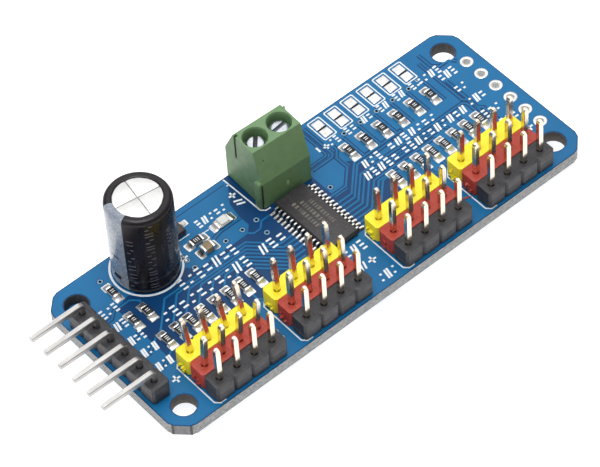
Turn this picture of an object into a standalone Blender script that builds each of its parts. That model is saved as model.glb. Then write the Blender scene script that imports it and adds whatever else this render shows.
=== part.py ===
"""Servo driver board: a circuit board with its headers, terminal block and components.

Frame: metres, +Z up. The origin is the centre of the board's underside. +X runs along the
board's long side, from the six-way control header towards the empty plated holes. +Y runs
across it, from the servo pins towards the terminal block.
"""
import math

import bmesh
import bpy
from mathutils import Matrix

MM = 0.001

# Circuit board
BOARD_LENGTH = 61.8 * MM
BOARD_WIDTH = 25.0 * MM
BOARD_THICK = 1.6 * MM
CORNER_CUT = 1.9 * MM         # leg of the cut across each corner of the board
CORNER_EASE = 0.25 * MM       # the two ends of that cut are eased
MOUNT_SPACING_X = 55.9 * MM
MOUNT_SPACING_Y = 19.05 * MM
MOUNT_HOLE_R = 1.5 * MM
PIN_HOLE_R = 0.55 * MM
EMPTY_HOLE_R = 0.5 * MM
TERMINAL_HOLE_R = 0.7 * MM
LEAD_HOLE_R = 0.45 * MM
SEAT = 0.05 * MM            # film of solder or air under each piece that stands on the board
TAIL = 1.5 * MM             # how far each solder tail stands out below the board

# Header strips and pins
PITCH = 2.54 * MM
STRIP_WIDTH = 2.48 * MM
STRIP_HEIGHT = 2.5 * MM
STRIP_CHAMFER = 0.5 * MM
STRIP_HOLE = 0.74 * MM
PIN_SIDE = 0.64 * MM
PIN_POINT = 0.34 * MM
PIN_TAPER = 0.7 * MM
PIN_TOP = 7.6 * MM          # pin tip above the board's top face
GROUP_SIZE = 4
GROUP_X = [-23.73 * MM, -11.03 * MM, 4.21 * MM, 16.91 * MM]     # first pin of each group
ROW_Y = {"black": -10.81 * MM, "red": -8.27 * MM, "yellow": -5.73 * MM}
BUS_WIDTH = 1.5 * MM        # copper area that joins the pins of one row under the board
BUS_THICK = 0.1 * MM

# Six-way control header and the empty holes opposite it
CONTROL_WAYS = 6
CONTROL_X = -29.2 * MM
CONTROL_MID_Y = 0.2 * MM
CONTROL_RUN_Z = 3.85 * MM   # centreline of the bent run above the board's top face
CONTROL_TIP_X = -36.4 * MM
CONTROL_BEND_R = 0.25 * MM  # inside radius of the bend
EMPTY_HOLE_X = 29.04 * MM

# Terminal block; heights are above the board's top face, y is from the block's centre
TERMINAL_X = 0.35 * MM
TERMINAL_Y = 9.02 * MM
TERMINAL_YAW = math.radians(-2.0)   # the block sits slightly askew, as soldered by hand
TERMINAL_PITCH = 3.5 * MM
TERMINAL_WIDTH = 7.0 * MM
TERMINAL_PROFILE = [(-3.45 * MM, 0.0), (3.45 * MM, 0.0), (3.45 * MM, 5.0 * MM), (1.75 * MM, 8.5 * MM),
                    (-1.95 * MM, 8.5 * MM), (-3.35 * MM, 4.05 * MM)]
SCREW_Y = -0.2 * MM
SCREW_WELL_R = 1.45 * MM
SCREW_LEDGE_Z = 6.9 * MM
SCREW_HEAD_R = 1.15 * MM
SCREW_HEAD_H = 0.75 * MM
SCREW_SHANK_R = 0.82 * MM
SCREW_SLOT = 0.5 * MM
SCREW_SLOT_DEPTH = 0.35 * MM
SCREW_TIP_Z = 3.65 * MM
SCREW_SLOT_ANGLES = [math.radians(50.0), math.radians(8.0)]
CHAMBER_TOP_Z = 6.4 * MM
CHAMBER_FLOOR_Z = 0.6 * MM
CHAMBER_HALF_X = 1.25 * MM
CLAMP_BOTTOM_Z = 0.7 * MM   # clamp fully open, the rest position
CLAMP_HALF_X = 1.12 * MM
CLAMP_LENGTH = 3.0 * MM
CLAMP_FLOOR = 0.5 * MM
CLAMP_WINDOW = 2.4 * MM
CLAMP_TOP = 0.9 * MM
CLAMP_WINDOW_HALF_X = 0.88 * MM
CONTACT_THICK = 0.5 * MM
CONTACT_TOP_Z = 3.55 * MM
CONTACT_LEG_Y = -2.3 * MM   # middle of the solder leg
WIRE_HOLE_HALF_X = 1.1 * MM
WIRE_HOLE_Z = (1.2 * MM, 3.6 * MM)

# Capacitor; heights are above the board's top face
CAP_X = -18.65 * MM
CAP_Y = 8.42 * MM
CAP_R = 3.98 * MM
CAP_HEIGHT = 12.5 * MM
CAP_SLEEVE_T = 0.2 * MM
CAP_RIM_R = 2.85 * MM
CAP_CAN_R = 3.72 * MM
CAP_CAN_T = 0.27 * MM
CAP_LEAD_R = 0.3 * MM
CAP_LEAD_PITCH = 3.5 * MM

# Driver chip
CHIP_X = 0.0
CHIP_Y = 0.26 * MM
CHIP_SIZE = (4.4 * MM, 9.7 * MM)
CHIP_LEADS = 14
CHIP_LEAD_PITCH = 0.65 * MM

# Chip resistors and capacitors
RESISTOR = (0.85 * MM, 1.6 * MM, 0.45 * MM)
OUTPUT_PITCH = 1.873 * MM
OUTPUT_LEFT_X = -23.6 * MM
OUTPUT_RIGHT_X = 10.89 * MM
OUTPUT_Y = -1.37 * MM
ADDRESS_X = 9.57 * MM
ADDRESS_Y = 5.45 * MM
ADDRESS_WAYS = 6
PULLUP_AT = [(-23.88 * MM, 8.03 * MM), (-24.65 * MM, 3.25 * MM), (-22.69 * MM, 3.23 * MM)]

MATERIALS = {
    "solder_mask_blue": ((0.02, 0.13, 0.36), 0.35, 0.0),
    "strip_yellow": ((0.9, 0.72, 0.02), 0.45, 0.0),
    "strip_red": ((0.5, 0.06, 0.03), 0.45, 0.0),
    "strip_black": ((0.04, 0.04, 0.045), 0.5, 0.0),
    "pin_plating": ((0.85, 0.8, 0.7), 0.25, 1.0),
    "tinned_copper": ((0.75, 0.75, 0.74), 0.35, 1.0),
    "terminal_green": ((0.16, 0.3, 0.13), 0.45, 0.0),
    "screw_steel": ((0.75, 0.76, 0.78), 0.25, 1.0),
    "clamp_brass": ((0.75, 0.62, 0.35), 0.3, 1.0),
    "sleeve_black": ((0.03, 0.03, 0.035), 0.35, 0.0),
    "can_aluminium": ((0.85, 0.85, 0.86), 0.3, 1.0),
    "bung_rubber": ((0.05, 0.05, 0.05), 0.8, 0.0),
    "winding_paper": ((0.55, 0.42, 0.28), 0.7, 0.0),
    "chip_epoxy": ((0.045, 0.043, 0.048), 0.55, 0.0),
    "lamp_clear": ((0.85, 0.86, 0.82), 0.2, 0.0),
    "resistor_black": ((0.05, 0.05, 0.055), 0.4, 0.0),
    "ceramic_tan": ((0.4, 0.3, 0.18), 0.45, 0.0),
}


def clear_objects():
    for item in list(bpy.data.objects):
        bpy.data.objects.remove(item, do_unlink=True)


def material(name):
    """The named Principled material, made on first use."""
    found = bpy.data.materials.get(name)
    if found:
        return found
    colour, roughness, metallic = MATERIALS[name]
    found = bpy.data.materials.new(name)
    found.use_nodes = True
    shader = found.node_tree.nodes["Principled BSDF"]
    shader.inputs["Base Color"].default_value = (*colour, 1.0)
    shader.inputs["Roughness"].default_value = roughness
    shader.inputs["Metallic"].default_value = metallic
    found.diffuse_color = (*colour, 1.0)
    return found


def empty(name, location, yaw=0.0, parent=None):
    item = bpy.data.objects.new(name, None)
    item.location = location
    item.rotation_euler = (0.0, 0.0, yaw)
    item.parent = parent
    bpy.context.scene.collection.objects.link(item)
    return item


def add_object(name, mesh, finish, location=(0.0, 0.0, 0.0), parent=None):
    mesh.materials.clear()
    mesh.materials.append(material(finish))
    item = bpy.data.objects.new(name, mesh)
    item.location = location
    item.parent = parent
    bpy.context.scene.collection.objects.link(item)
    return item


def mesh_from(bm, name):
    bmesh.ops.recalc_face_normals(bm, faces=bm.faces)
    mesh = bpy.data.meshes.new(name)
    bm.to_mesh(mesh)
    bm.free()
    return mesh


def shade_round(mesh, angle=40.0):
    mesh.shade_smooth()
    mesh.set_sharp_from_angle(angle=math.radians(angle))
    return mesh


def prism(bm, outline, low, high, axis="Z"):
    """Extrude a closed 2-D outline from low to high along Z, or along X or Y.

    The outline's pairs are (x, y) for Z, (y, z) for X and (x, z) for Y.
    """
    place = {"Z": lambda a, b, c: (a, b, c),
             "X": lambda a, b, c: (c, a, b),
             "Y": lambda a, b, c: (a, c, b)}[axis]
    base = [bm.verts.new(place(a, b, low)) for a, b in outline]
    face = bm.faces.new(base)
    moved = bmesh.ops.extrude_face_region(bm, geom=[face])["geom"]
    shift = [t - s for s, t in zip(place(0, 0, low), place(0, 0, high))]
    bmesh.ops.translate(bm, vec=shift, verts=[v for v in moved if isinstance(v, bmesh.types.BMVert)])


def block(bm, low, high):
    """A box between two opposite corners."""
    size = [b - a for a, b in zip(low, high)]
    middle = [(a + b) / 2 for a, b in zip(low, high)]
    bmesh.ops.create_cube(bm, size=1.0, matrix=Matrix.LocRotScale(middle, None, size))


def lathe(bm, profile, sides, centre=(0.0, 0.0), closed=False):
    """Turn (radius, z) points about a vertical axis; a radius of 0 is a point on the axis."""
    rings = []
    for radius, z in profile:
        if radius == 0:
            rings.append([bm.verts.new((centre[0], centre[1], z))])
            continue
        rings.append([bm.verts.new((centre[0] + radius * math.cos(2 * math.pi * k / sides),
                                    centre[1] + radius * math.sin(2 * math.pi * k / sides), z))
                      for k in range(sides)])
    pairs = list(zip(rings, rings[1:]))
    if closed:
        pairs.append((rings[-1], rings[0]))
    for first, second in pairs:
        for k in range(sides):
            after = (k + 1) % sides
            corners = [first[k % len(first)], first[after % len(first)],
                       second[after % len(second)], second[k % len(second)]]
            bm.faces.new(list(dict.fromkeys(corners)))


def circle(radius, sides, centre=(0.0, 0.0)):
    return [(centre[0] + radius * math.cos(2 * math.pi * (k + 0.5) / sides),
             centre[1] + radius * math.sin(2 * math.pi * (k + 0.5) / sides)) for k in range(sides)]


def cut_rectangle(half_x, half_y, cut, ease):
    """Outline of a rectangle with its corners cut at 45 degrees and the ends of each cut eased."""
    corner = [(0.0, cut + 2 * ease), (ease, cut - ease), (cut - ease, ease), (cut + 2 * ease, 0.0)]
    points = []
    for sx, sy in [(1, 1), (-1, 1), (-1, -1), (1, -1)]:
        way = corner if sx == sy else reversed(corner)
        points += [(sx * (half_x - a), sy * (half_y - b)) for a, b in way]
    return points


def pierced_plate(name, outline, holes, low, high):
    """A flat plate with holes: a filled 2-D curve, extruded and welded into one closed mesh."""
    curve = bpy.data.curves.new(name, "CURVE")
    curve.dimensions = "2D"
    curve.fill_mode = "BOTH"
    curve.extrude = (high - low) / 2
    for loop in [outline] + holes:
        spline = curve.splines.new("POLY")
        spline.points.add(len(loop) - 1)
        for point, (x, y) in zip(spline.points, loop):
            point.co = (x, y, 0.0, 1.0)
        spline.use_cyclic_u = True
    guide = bpy.data.objects.new(name + "_outline", curve)
    mesh = bpy.data.meshes.new_from_object(guide)
    bpy.data.objects.remove(guide)
    bpy.data.curves.remove(curve)
    bm = bmesh.new()
    bm.from_mesh(mesh)
    bmesh.ops.remove_doubles(bm, verts=bm.verts, dist=1e-7)
    bmesh.ops.translate(bm, vec=(0.0, 0.0, (low + high) / 2), verts=bm.verts)
    bpy.data.meshes.remove(mesh)
    return mesh_from(bm, name)


def combined(mesh, tool, operation):
    """The mesh after a Boolean union or difference with the tool mesh."""
    target = bpy.data.objects.new("target", mesh)
    other = bpy.data.objects.new("tool", tool)
    for item in (target, other):
        bpy.context.scene.collection.objects.link(item)
    step = target.modifiers.new(operation, "BOOLEAN")
    step.operation = operation
    step.object = other
    step.solver = "EXACT"
    bpy.context.view_layer.update()
    graph = bpy.context.evaluated_depsgraph_get()
    result = bpy.data.meshes.new_from_object(target.evaluated_get(graph))
    for item in (target, other):
        bpy.data.objects.remove(item, do_unlink=True)
    return result


# ------------------------------------------------------------------ circuit board

def control_ys():
    return [CONTROL_MID_Y + PITCH * (k - (CONTROL_WAYS - 1) / 2) for k in range(CONTROL_WAYS)]


def group_xs(group):
    return [GROUP_X[group] + PITCH * k for k in range(GROUP_SIZE)]


def terminal_to_board(x, y):
    """A point of the terminal block's own frame, in the board's frame."""
    c, s = math.cos(TERMINAL_YAW), math.sin(TERMINAL_YAW)
    return TERMINAL_X + c * x - s * y, TERMINAL_Y + s * x + c * y


def circuit_board():
    holes = [circle(MOUNT_HOLE_R, 32, (sx * MOUNT_SPACING_X / 2, sy * MOUNT_SPACING_Y / 2))
             for sx in (-1, 1) for sy in (-1, 1)]
    for group in range(len(GROUP_X)):
        holes += [circle(PIN_HOLE_R, 8, (x, y)) for x in group_xs(group) for y in ROW_Y.values()]
    holes += [circle(PIN_HOLE_R, 8, (CONTROL_X, y)) for y in control_ys()]
    holes += [circle(EMPTY_HOLE_R, 16, (EMPTY_HOLE_X, y)) for y in control_ys()]
    holes += [circle(TERMINAL_HOLE_R, 12, terminal_to_board(side * TERMINAL_PITCH / 2, CONTACT_LEG_Y))
              for side in (-1, 1)]
    holes += [circle(LEAD_HOLE_R, 12, (CAP_X + side * CAP_LEAD_PITCH / 2, CAP_Y)) for side in (-1, 1)]
    outline = cut_rectangle(BOARD_LENGTH / 2, BOARD_WIDTH / 2, CORNER_CUT, CORNER_EASE)
    mesh = pierced_plate("circuit_board", outline, holes, 0.0, BOARD_THICK)
    add_object("circuit_board", shade_round(mesh), "solder_mask_blue")


# ------------------------------------------------------------------ headers

def strip_outline(ways):
    """Plan of a breakaway strip along X, its first way at x = 0, notched between the ways."""
    half, edge, cut = STRIP_WIDTH / 2, PITCH / 2, STRIP_CHAMFER
    front = [(-edge, -half + cut)]
    for k in range(ways):
        front += [(k * PITCH - edge + cut, -half), (k * PITCH + edge - cut, -half),
                  (k * PITCH + edge, -half + cut)]
    return front + [(x, -y) for x, y in reversed(front)]


def square(side, centre):
    h = side / 2
    return [(centre[0] + sx * h, centre[1] + sy * h) for sx, sy in ((-1, -1), (1, -1), (1, 1), (-1, 1))]


def strip_mesh(name, ways):
    holes = [square(STRIP_HOLE, (k * PITCH, 0.0)) for k in range(ways)]
    return pierced_plate(name, strip_outline(ways), holes, 0.0, STRIP_HEIGHT)


def header_strips():
    top = BOARD_THICK + SEAT
    for colour, y in ROW_Y.items():
        mesh = strip_mesh("strip_" + colour, GROUP_SIZE)
        for group, x in enumerate(GROUP_X):
            add_object(f"header_{colour}_{group + 1}", mesh, "strip_" + colour, (x, y, top))


def pin_rings(bm, x, y, low, high):
    """A square pin with tapered ends, standing at (x, y)."""
    levels = [(low, PIN_POINT), (low + PIN_TAPER, PIN_SIDE), (high - PIN_TAPER, PIN_SIDE), (high, PIN_POINT)]
    rings = [[bm.verts.new((a, b, z)) for a, b in square(side, (x, y))] for z, side in levels]
    for lower, upper in zip(rings, rings[1:]):
        for k in range(4):
            bm.faces.new([lower[k], lower[(k + 1) % 4], upper[(k + 1) % 4], upper[k]])
    bm.faces.new(list(reversed(rings[0])))
    bm.faces.new(rings[-1])


def signal_pins():
    bm = bmesh.new()
    pin_rings(bm, 0.0, 0.0, -TAIL, BOARD_THICK + PIN_TOP)
    mesh = mesh_from(bm, "signal_pin")
    number = 0
    for group in range(len(GROUP_X)):
        for x in group_xs(group):
            number += 1
            add_object(f"signal_pin_{number:02d}", mesh, "pin_plating", (x, ROW_Y["yellow"], 0.0))


def joined_pin_row(name, y):
    """Sixteen pins with the copper area under the board that joins them."""
    xs = [x for group in range(len(GROUP_X)) for x in group_xs(group)]
    pins = bmesh.new()
    for x in xs:
        pin_rings(pins, x, 0.0, -TAIL, BOARD_THICK + PIN_TOP)
    copper = bmesh.new()
    block(copper, (xs[0] - PITCH / 2, -BUS_WIDTH / 2, -SEAT - BUS_THICK),
          (xs[-1] + PITCH / 2, BUS_WIDTH / 2, -SEAT))
    mesh = combined(mesh_from(copper, name), mesh_from(pins, "pins"), "UNION")
    add_object(name, mesh, "pin_plating", (0.0, y, 0.0))


def control_header():
    mesh = strip_mesh("control_header_insulator", CONTROL_WAYS)
    mesh.transform(Matrix.Rotation(math.pi / 2, 4, "Z"))
    add_object("control_header_insulator", mesh, "strip_black",
               (CONTROL_X, control_ys()[0], BOARD_THICK + SEAT))


def bent_pin_outline():
    """Side view in X and Z of a pin that rises from x = 0 and bends towards -X."""
    half, run, tip = PIN_SIDE / 2, BOARD_THICK + CONTROL_RUN_Z, CONTROL_TIP_X - CONTROL_X
    inner, outer = CONTROL_BEND_R, CONTROL_BEND_R + PIN_SIDE
    centre = (-half - inner, run - half - inner)
    bend = [(math.radians(90 * k / 4)) for k in range(5)]
    outside = [(centre[0] + outer * math.cos(a), centre[1] + outer * math.sin(a)) for a in bend]
    inside = [(centre[0] + inner * math.cos(a), centre[1] + inner * math.sin(a)) for a in reversed(bend)]
    point = PIN_POINT / 2
    foot = [(-half, -TAIL + PIN_TAPER), (-point, -TAIL), (point, -TAIL), (half, -TAIL + PIN_TAPER)]
    end = [(tip + PIN_TAPER, run + half), (tip, run + point), (tip, run - point), (tip + PIN_TAPER, run - half)]
    return foot + outside + end + inside


def control_pins():
    bm = bmesh.new()
    prism(bm, bent_pin_outline(), -PIN_SIDE / 2, PIN_SIDE / 2, "Y")
    mesh = mesh_from(bm, "control_pin")
    for number, y in enumerate(reversed(control_ys())):
        add_object(f"control_pin_{number + 1}", mesh, "pin_plating", (CONTROL_X, y, 0.0))


# ------------------------------------------------------------------ terminal block

def terminal_frame():
    return empty("terminal_block", (TERMINAL_X, TERMINAL_Y, BOARD_THICK), TERMINAL_YAW)


def housing_cavities():
    """Everything cut from the housing, for both ways, as one set of meshes in turn."""
    wells, chambers, entries = bmesh.new(), bmesh.new(), bmesh.new()
    for side in (-1, 1):
        x = side * TERMINAL_PITCH / 2
        lathe(wells, [(0, CHAMBER_TOP_Z - 0.2 * MM), (0.96 * MM, CHAMBER_TOP_Z - 0.2 * MM),
                      (0.96 * MM, SCREW_LEDGE_Z), (SCREW_WELL_R, SCREW_LEDGE_Z),
                      (SCREW_WELL_R, 9.5 * MM), (0, 9.5 * MM)], 24, (x, SCREW_Y))
        prism(chambers, [(-2.65 * MM, 3.7 * MM), (-2.65 * MM, CHAMBER_FLOOR_Z), (1.5 * MM, CHAMBER_FLOOR_Z),
                         (1.5 * MM, CHAMBER_TOP_Z), (-1.9 * MM, CHAMBER_TOP_Z), (-1.9 * MM, 3.7 * MM)],
              x - CHAMBER_HALF_X, x + CHAMBER_HALF_X, "X")
        block(entries, (x - WIRE_HOLE_HALF_X, 1.0 * MM, WIRE_HOLE_Z[0]),
              (x + WIRE_HOLE_HALF_X, 5.0 * MM, WIRE_HOLE_Z[1]))
        block(entries, (x - 0.65 * MM, CONTACT_LEG_Y - 0.3 * MM, -1.0 * MM),
              (x + 0.65 * MM, CONTACT_LEG_Y + 0.3 * MM, 1.0 * MM))
    return [mesh_from(wells, "wells"), mesh_from(chambers, "chambers"), mesh_from(entries, "entries")]


def terminal_housing(frame):
    body = bmesh.new()
    prism(body, TERMINAL_PROFILE, -TERMINAL_WIDTH / 2, TERMINAL_WIDTH / 2, "X")
    mesh = mesh_from(body, "terminal_housing")
    side = TERMINAL_WIDTH / 2
    ribs = bmesh.new()
    prism(ribs, [(-side + 0.2 * MM, -2.55 * MM), (-side - 0.5 * MM, -2.45 * MM),
                 (-side - 0.5 * MM, -3.3 * MM), (-side + 0.2 * MM, -3.2 * MM)], 0.1 * MM, 3.1 * MM)
    block(ribs, (side - 0.2 * MM, 1.3 * MM, 5.2 * MM), (side + 0.35 * MM, 1.5 * MM, 8.4 * MM))
    mesh = combined(mesh, mesh_from(ribs, "ribs"), "UNION")
    slots = bmesh.new()
    block(slots, (-side - 0.3 * MM, 1.25 * MM, 5.15 * MM), (-side + 0.3 * MM, 1.5 * MM, 9.0 * MM))
    prism(slots, [(side + 0.3 * MM, -3.2 * MM), (side + 0.3 * MM, -2.55 * MM),
                  (side - 0.35 * MM, -2.5 * MM), (side - 0.35 * MM, -3.25 * MM)], -0.5 * MM, 3.15 * MM)
    for tool in housing_cavities() + [mesh_from(slots, "slots")]:
        mesh = combined(mesh, tool, "DIFFERENCE")
    mesh.name = "terminal_housing"
    add_object("terminal_housing", shade_round(mesh), "terminal_green", (0.0, 0.0, SEAT), frame)


def terminal_screw(name, x, slot_angle, frame):
    """A slotted screw; its own origin is on its axis at the ledge that carries its head."""
    turned = bmesh.new()
    base = SEAT
    top = base + SCREW_HEAD_H
    tip = SCREW_TIP_Z - SCREW_LEDGE_Z
    lathe(turned, [(0, tip), (SCREW_SHANK_R - 0.2 * MM, tip), (SCREW_SHANK_R, tip + 0.2 * MM),
                   (SCREW_SHANK_R, base), (SCREW_HEAD_R, base), (SCREW_HEAD_R, top - 0.12 * MM),
                   (SCREW_HEAD_R - 0.12 * MM, top), (0, top)], 24)
    slot = bmesh.new()
    block(slot, (-2 * MM, -SCREW_SLOT / 2, top - SCREW_SLOT_DEPTH), (2 * MM, SCREW_SLOT / 2, top + 1 * MM))
    cutter = mesh_from(slot, "slot")
    cutter.transform(Matrix.Rotation(slot_angle, 4, "Z"))
    mesh = combined(mesh_from(turned, name), cutter, "DIFFERENCE")
    add_object(name, shade_round(mesh), "screw_steel", (x, SCREW_Y, SCREW_LEDGE_Z), frame)


def terminal_clamp(name, x, frame):
    """A rising clamp: a loop round the wire with a threaded hole in its top wall."""
    half, length = CLAMP_HALF_X, CLAMP_LENGTH / 2
    height = CLAMP_FLOOR + CLAMP_WINDOW + CLAMP_TOP
    window = [(sx * CLAMP_WINDOW_HALF_X, z) for sx, z in
              ((-1, CLAMP_FLOOR), (1, CLAMP_FLOOR), (1, CLAMP_FLOOR + CLAMP_WINDOW),
               (-1, CLAMP_FLOOR + CLAMP_WINDOW))]
    outer = [(-half, 0.0), (half, 0.0), (half, height), (-half, height)]
    mesh = pierced_plate(name, outer, [window], -length, length)
    mesh.transform(Matrix.Rotation(math.pi / 2, 4, "X"))
    hole = bmesh.new()
    low = CLAMP_FLOOR + CLAMP_WINDOW - 0.3 * MM
    lathe(hole, [(0, low), (SCREW_SHANK_R + 0.08 * MM, low), (SCREW_SHANK_R + 0.08 * MM, height + 1 * MM),
                 (0, height + 1 * MM)], 24)
    mesh = combined(mesh, mesh_from(hole, "hole"), "DIFFERENCE")
    add_object(name, shade_round(mesh), "clamp_brass", (x, SCREW_Y, CLAMP_BOTTOM_Z), frame)


def terminal_contact(name, x, frame):
    """A fixed contact bar through the clamp, with its solder leg."""
    bar = [(CONTACT_LEG_Y - 0.25 * MM, CONTACT_TOP_Z), (CONTACT_LEG_Y - 0.25 * MM, -BOARD_THICK - TAIL),
           (CONTACT_LEG_Y + 0.25 * MM, -BOARD_THICK - TAIL),
           (CONTACT_LEG_Y + 0.25 * MM, CONTACT_TOP_Z - CONTACT_THICK),
           (1.3 * MM, CONTACT_TOP_Z - CONTACT_THICK), (1.3 * MM, CONTACT_TOP_Z)]
    bm = bmesh.new()
    prism(bm, bar, -0.45 * MM, 0.45 * MM, "X")
    add_object(name, mesh_from(bm, name), "tinned_copper", (x, 0.0, 0.0), frame)


def terminal_block():
    frame = terminal_frame()
    terminal_housing(frame)
    for number, side in enumerate((-1, 1)):
        x = side * TERMINAL_PITCH / 2
        terminal_screw(f"terminal_screw_{number + 1}", x, SCREW_SLOT_ANGLES[number], frame)
        terminal_clamp(f"terminal_clamp_{number + 1}", x, frame)
        terminal_contact(f"terminal_contact_{number + 1}", x, frame)


# ------------------------------------------------------------------ capacitor

def capacitor():
    frame = empty("capacitor", (CAP_X, CAP_Y, BOARD_THICK))
    r, t, h = CAP_R, CAP_SLEEVE_T, CAP_HEIGHT
    sleeve = bmesh.new()
    lathe(sleeve, [(r, 0.1 * MM), (r, h - 0.5 * MM), (r - 0.12 * MM, h - 0.18 * MM), (r - 0.45 * MM, h),
                   (CAP_RIM_R, h - 0.05 * MM), (CAP_RIM_R, h - 0.22 * MM), (r - 0.5 * MM, h - 0.22 * MM),
                   (r - t, h - 0.55 * MM), (r - t, 0.3 * MM), (3.2 * MM, 0.3 * MM), (3.2 * MM, 0.1 * MM)],
          40, closed=True)
    add_object("capacitor_sleeve", shade_round(mesh_from(sleeve, "capacitor_sleeve")), "sleeve_black",
               parent=frame)
    can = bmesh.new()
    top, inner = h - 0.28 * MM, CAP_CAN_R - CAP_CAN_T
    lathe(can, [(0, top), (CAP_CAN_R - 0.3 * MM, top), (CAP_CAN_R, top - 0.3 * MM), (CAP_CAN_R, 0.5 * MM),
                (inner, 0.5 * MM), (inner, top - 0.4 * MM), (0, top - 0.4 * MM)], 40)
    add_object("capacitor_can", shade_round(mesh_from(can, "capacitor_can")), "can_aluminium", parent=frame)
    leads = [(-CAP_LEAD_PITCH / 2, 0.0), (CAP_LEAD_PITCH / 2, 0.0)]
    bung = pierced_plate("capacitor_bung", circle(inner - 0.06 * MM, 24),
                         [circle(CAP_LEAD_R + 0.06 * MM, 12, at) for at in leads], 0.45 * MM, 2.0 * MM)
    add_object("capacitor_bung", shade_round(bung), "bung_rubber", parent=frame)
    winding = bmesh.new()
    lathe(winding, [(0, 2.1 * MM), (inner - 0.15 * MM, 2.1 * MM), (inner - 0.15 * MM, top - 0.6 * MM),
                    (0, top - 0.6 * MM)], 24)
    add_object("capacitor_winding", shade_round(mesh_from(winding, "capacitor_winding")), "winding_paper",
               parent=frame)
    lead = bmesh.new()
    bottom = -BOARD_THICK - TAIL
    lathe(lead, [(0, bottom), (CAP_LEAD_R, bottom), (CAP_LEAD_R, 2.05 * MM), (0, 2.05 * MM)], 12)
    mesh = shade_round(mesh_from(lead, "capacitor_lead"))
    for number, (x, y) in enumerate(leads):
        add_object(f"capacitor_lead_{number + 1}", mesh, "tinned_copper", (x, y, 0.0), frame)


# ------------------------------------------------------------------ surface-mount parts

def gull_lead(bm, x, y, side, reach, high, width):
    """A lead that leaves the body at height `high`, drops and ends in a flat foot."""
    t = 0.13 * MM
    path = [(-0.3 * MM, high), (0.35 * reach, high), (0.5 * reach, 0.0), (reach, 0.0),
            (reach, t), (0.5 * reach + 0.1 * MM, t), (0.35 * reach + 0.1 * MM, high + t), (-0.3 * MM, high + t)]
    prism(bm, [(x + side * a, z) for a, z in path], y - width / 2, y + width / 2, "Y")


def moulded_body(bm, size_x, size_y, low, high, draft):
    """A moulded package whose sides lean in from the parting line."""
    middle = (low + high) / 2
    levels = [(low, draft), (middle, 0.0), (high, draft)]
    rings = []
    for z, inset in levels:
        hx, hy = size_x / 2 - inset, size_y / 2 - inset
        rings.append([bm.verts.new((sx * hx, sy * hy, z)) for sx, sy in ((-1, -1), (1, -1), (1, 1), (-1, 1))])
    for lower, upper in zip(rings, rings[1:]):
        for k in range(4):
            bm.faces.new([lower[k], lower[(k + 1) % 4], upper[(k + 1) % 4], upper[k]])
    bm.faces.new(list(reversed(rings[0])))
    bm.faces.new(rings[-1])


def driver_chip():
    body = bmesh.new()
    moulded_body(body, *CHIP_SIZE, 0.06 * MM, 1.0 * MM, 0.08 * MM)
    leads = bmesh.new()
    for side in (-1, 1):
        for k in range(CHIP_LEADS):
            y = CHIP_LEAD_PITCH * (k - (CHIP_LEADS - 1) / 2)
            gull_lead(leads, side * CHIP_SIZE[0] / 2, y, side, 1.0 * MM, 0.46 * MM, 0.24 * MM)
    mesh = combined(mesh_from(body, "driver_chip"), mesh_from(leads, "leads"), "UNION")
    dimple = bmesh.new()
    lathe(dimple, [(0, 0.93 * MM), (0.45 * MM, 0.93 * MM), (0.45 * MM, 1.4 * MM), (0, 1.4 * MM)], 16,
          (-1.35 * MM, 3.95 * MM))
    mesh = combined(mesh, mesh_from(dimple, "dimple"), "DIFFERENCE")
    add_object("driver_chip", mesh, "chip_epoxy", (CHIP_X, CHIP_Y, BOARD_THICK + SEAT))


def protection_transistor():
    body = bmesh.new()
    moulded_body(body, 1.35 * MM, 2.9 * MM, 0.08 * MM, 0.95 * MM, 0.07 * MM)
    leads = bmesh.new()
    gull_lead(leads, 0.67 * MM, 0.0, 1, 0.6 * MM, 0.45 * MM, 0.45 * MM)
    for y in (-0.95 * MM, 0.95 * MM):
        gull_lead(leads, -0.67 * MM, y, -1, 0.6 * MM, 0.45 * MM, 0.45 * MM)
    mesh = combined(mesh_from(body, "protection_transistor"), mesh_from(leads, "leads"), "UNION")
    add_object("protection_transistor", mesh, "chip_epoxy", (-12.85 * MM, 10.4 * MM, BOARD_THICK + SEAT))


def stepped_part(name, finish, outline, width, at):
    """A small part whose side view in X and Z is extruded across Y."""
    bm = bmesh.new()
    prism(bm, outline, -width / 2, width / 2, "Y")
    add_object(name, mesh_from(bm, name), finish, (at[0], at[1], BOARD_THICK + SEAT))


def chip_outline(length, height, bevel):
    h = length / 2
    return [(-h, 0.0), (h, 0.0), (h, height - bevel), (h - bevel, height), (-h + bevel, height),
            (-h, height - bevel)]


def lamp_and_neighbours():
    lamp = [(-1.05, 0.0), (1.05, 0.0), (1.05, 0.35), (0.68, 0.35), (0.6, 0.8), (-0.6, 0.8), (-0.68, 0.35),
            (-1.05, 0.35)]
    stepped_part("power_lamp", "lamp_clear", [(x * MM, z * MM) for x, z in lamp], 1.25 * MM,
                 (-8.05 * MM, 7.45 * MM))
    stepped_part("lamp_resistor", "resistor_black", chip_outline(1.7 * MM, 0.45 * MM, 0.06 * MM), 0.85 * MM,
                 (-12.15 * MM, 7.27 * MM))
    stepped_part("decoupling_capacitor", "ceramic_tan", chip_outline(1.65 * MM, 0.85 * MM, 0.1 * MM),
                 1.15 * MM, (-11.93 * MM, 5.53 * MM))


def resistor_group(name, places, links):
    """Chip resistors along Y with the copper that joins them, as one body."""
    chips = bmesh.new()
    hx, hy, height = RESISTOR[0] / 2, RESISTOR[1] / 2, RESISTOR[2]
    for x, y in places:
        block(chips, (x - hx, y - hy, 0.0), (x + hx, y + hy, height))
    mesh = mesh_from(chips, name)
    for low, high in links:
        copper = bmesh.new()
        block(copper, (*low, 0.0), (*high, 0.06 * MM))
        mesh = combined(mesh, mesh_from(copper, "copper"), "UNION")
    mesh.name = name
    add_object(name, mesh, "resistor_black", (0.0, 0.0, BOARD_THICK + SEAT))


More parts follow.
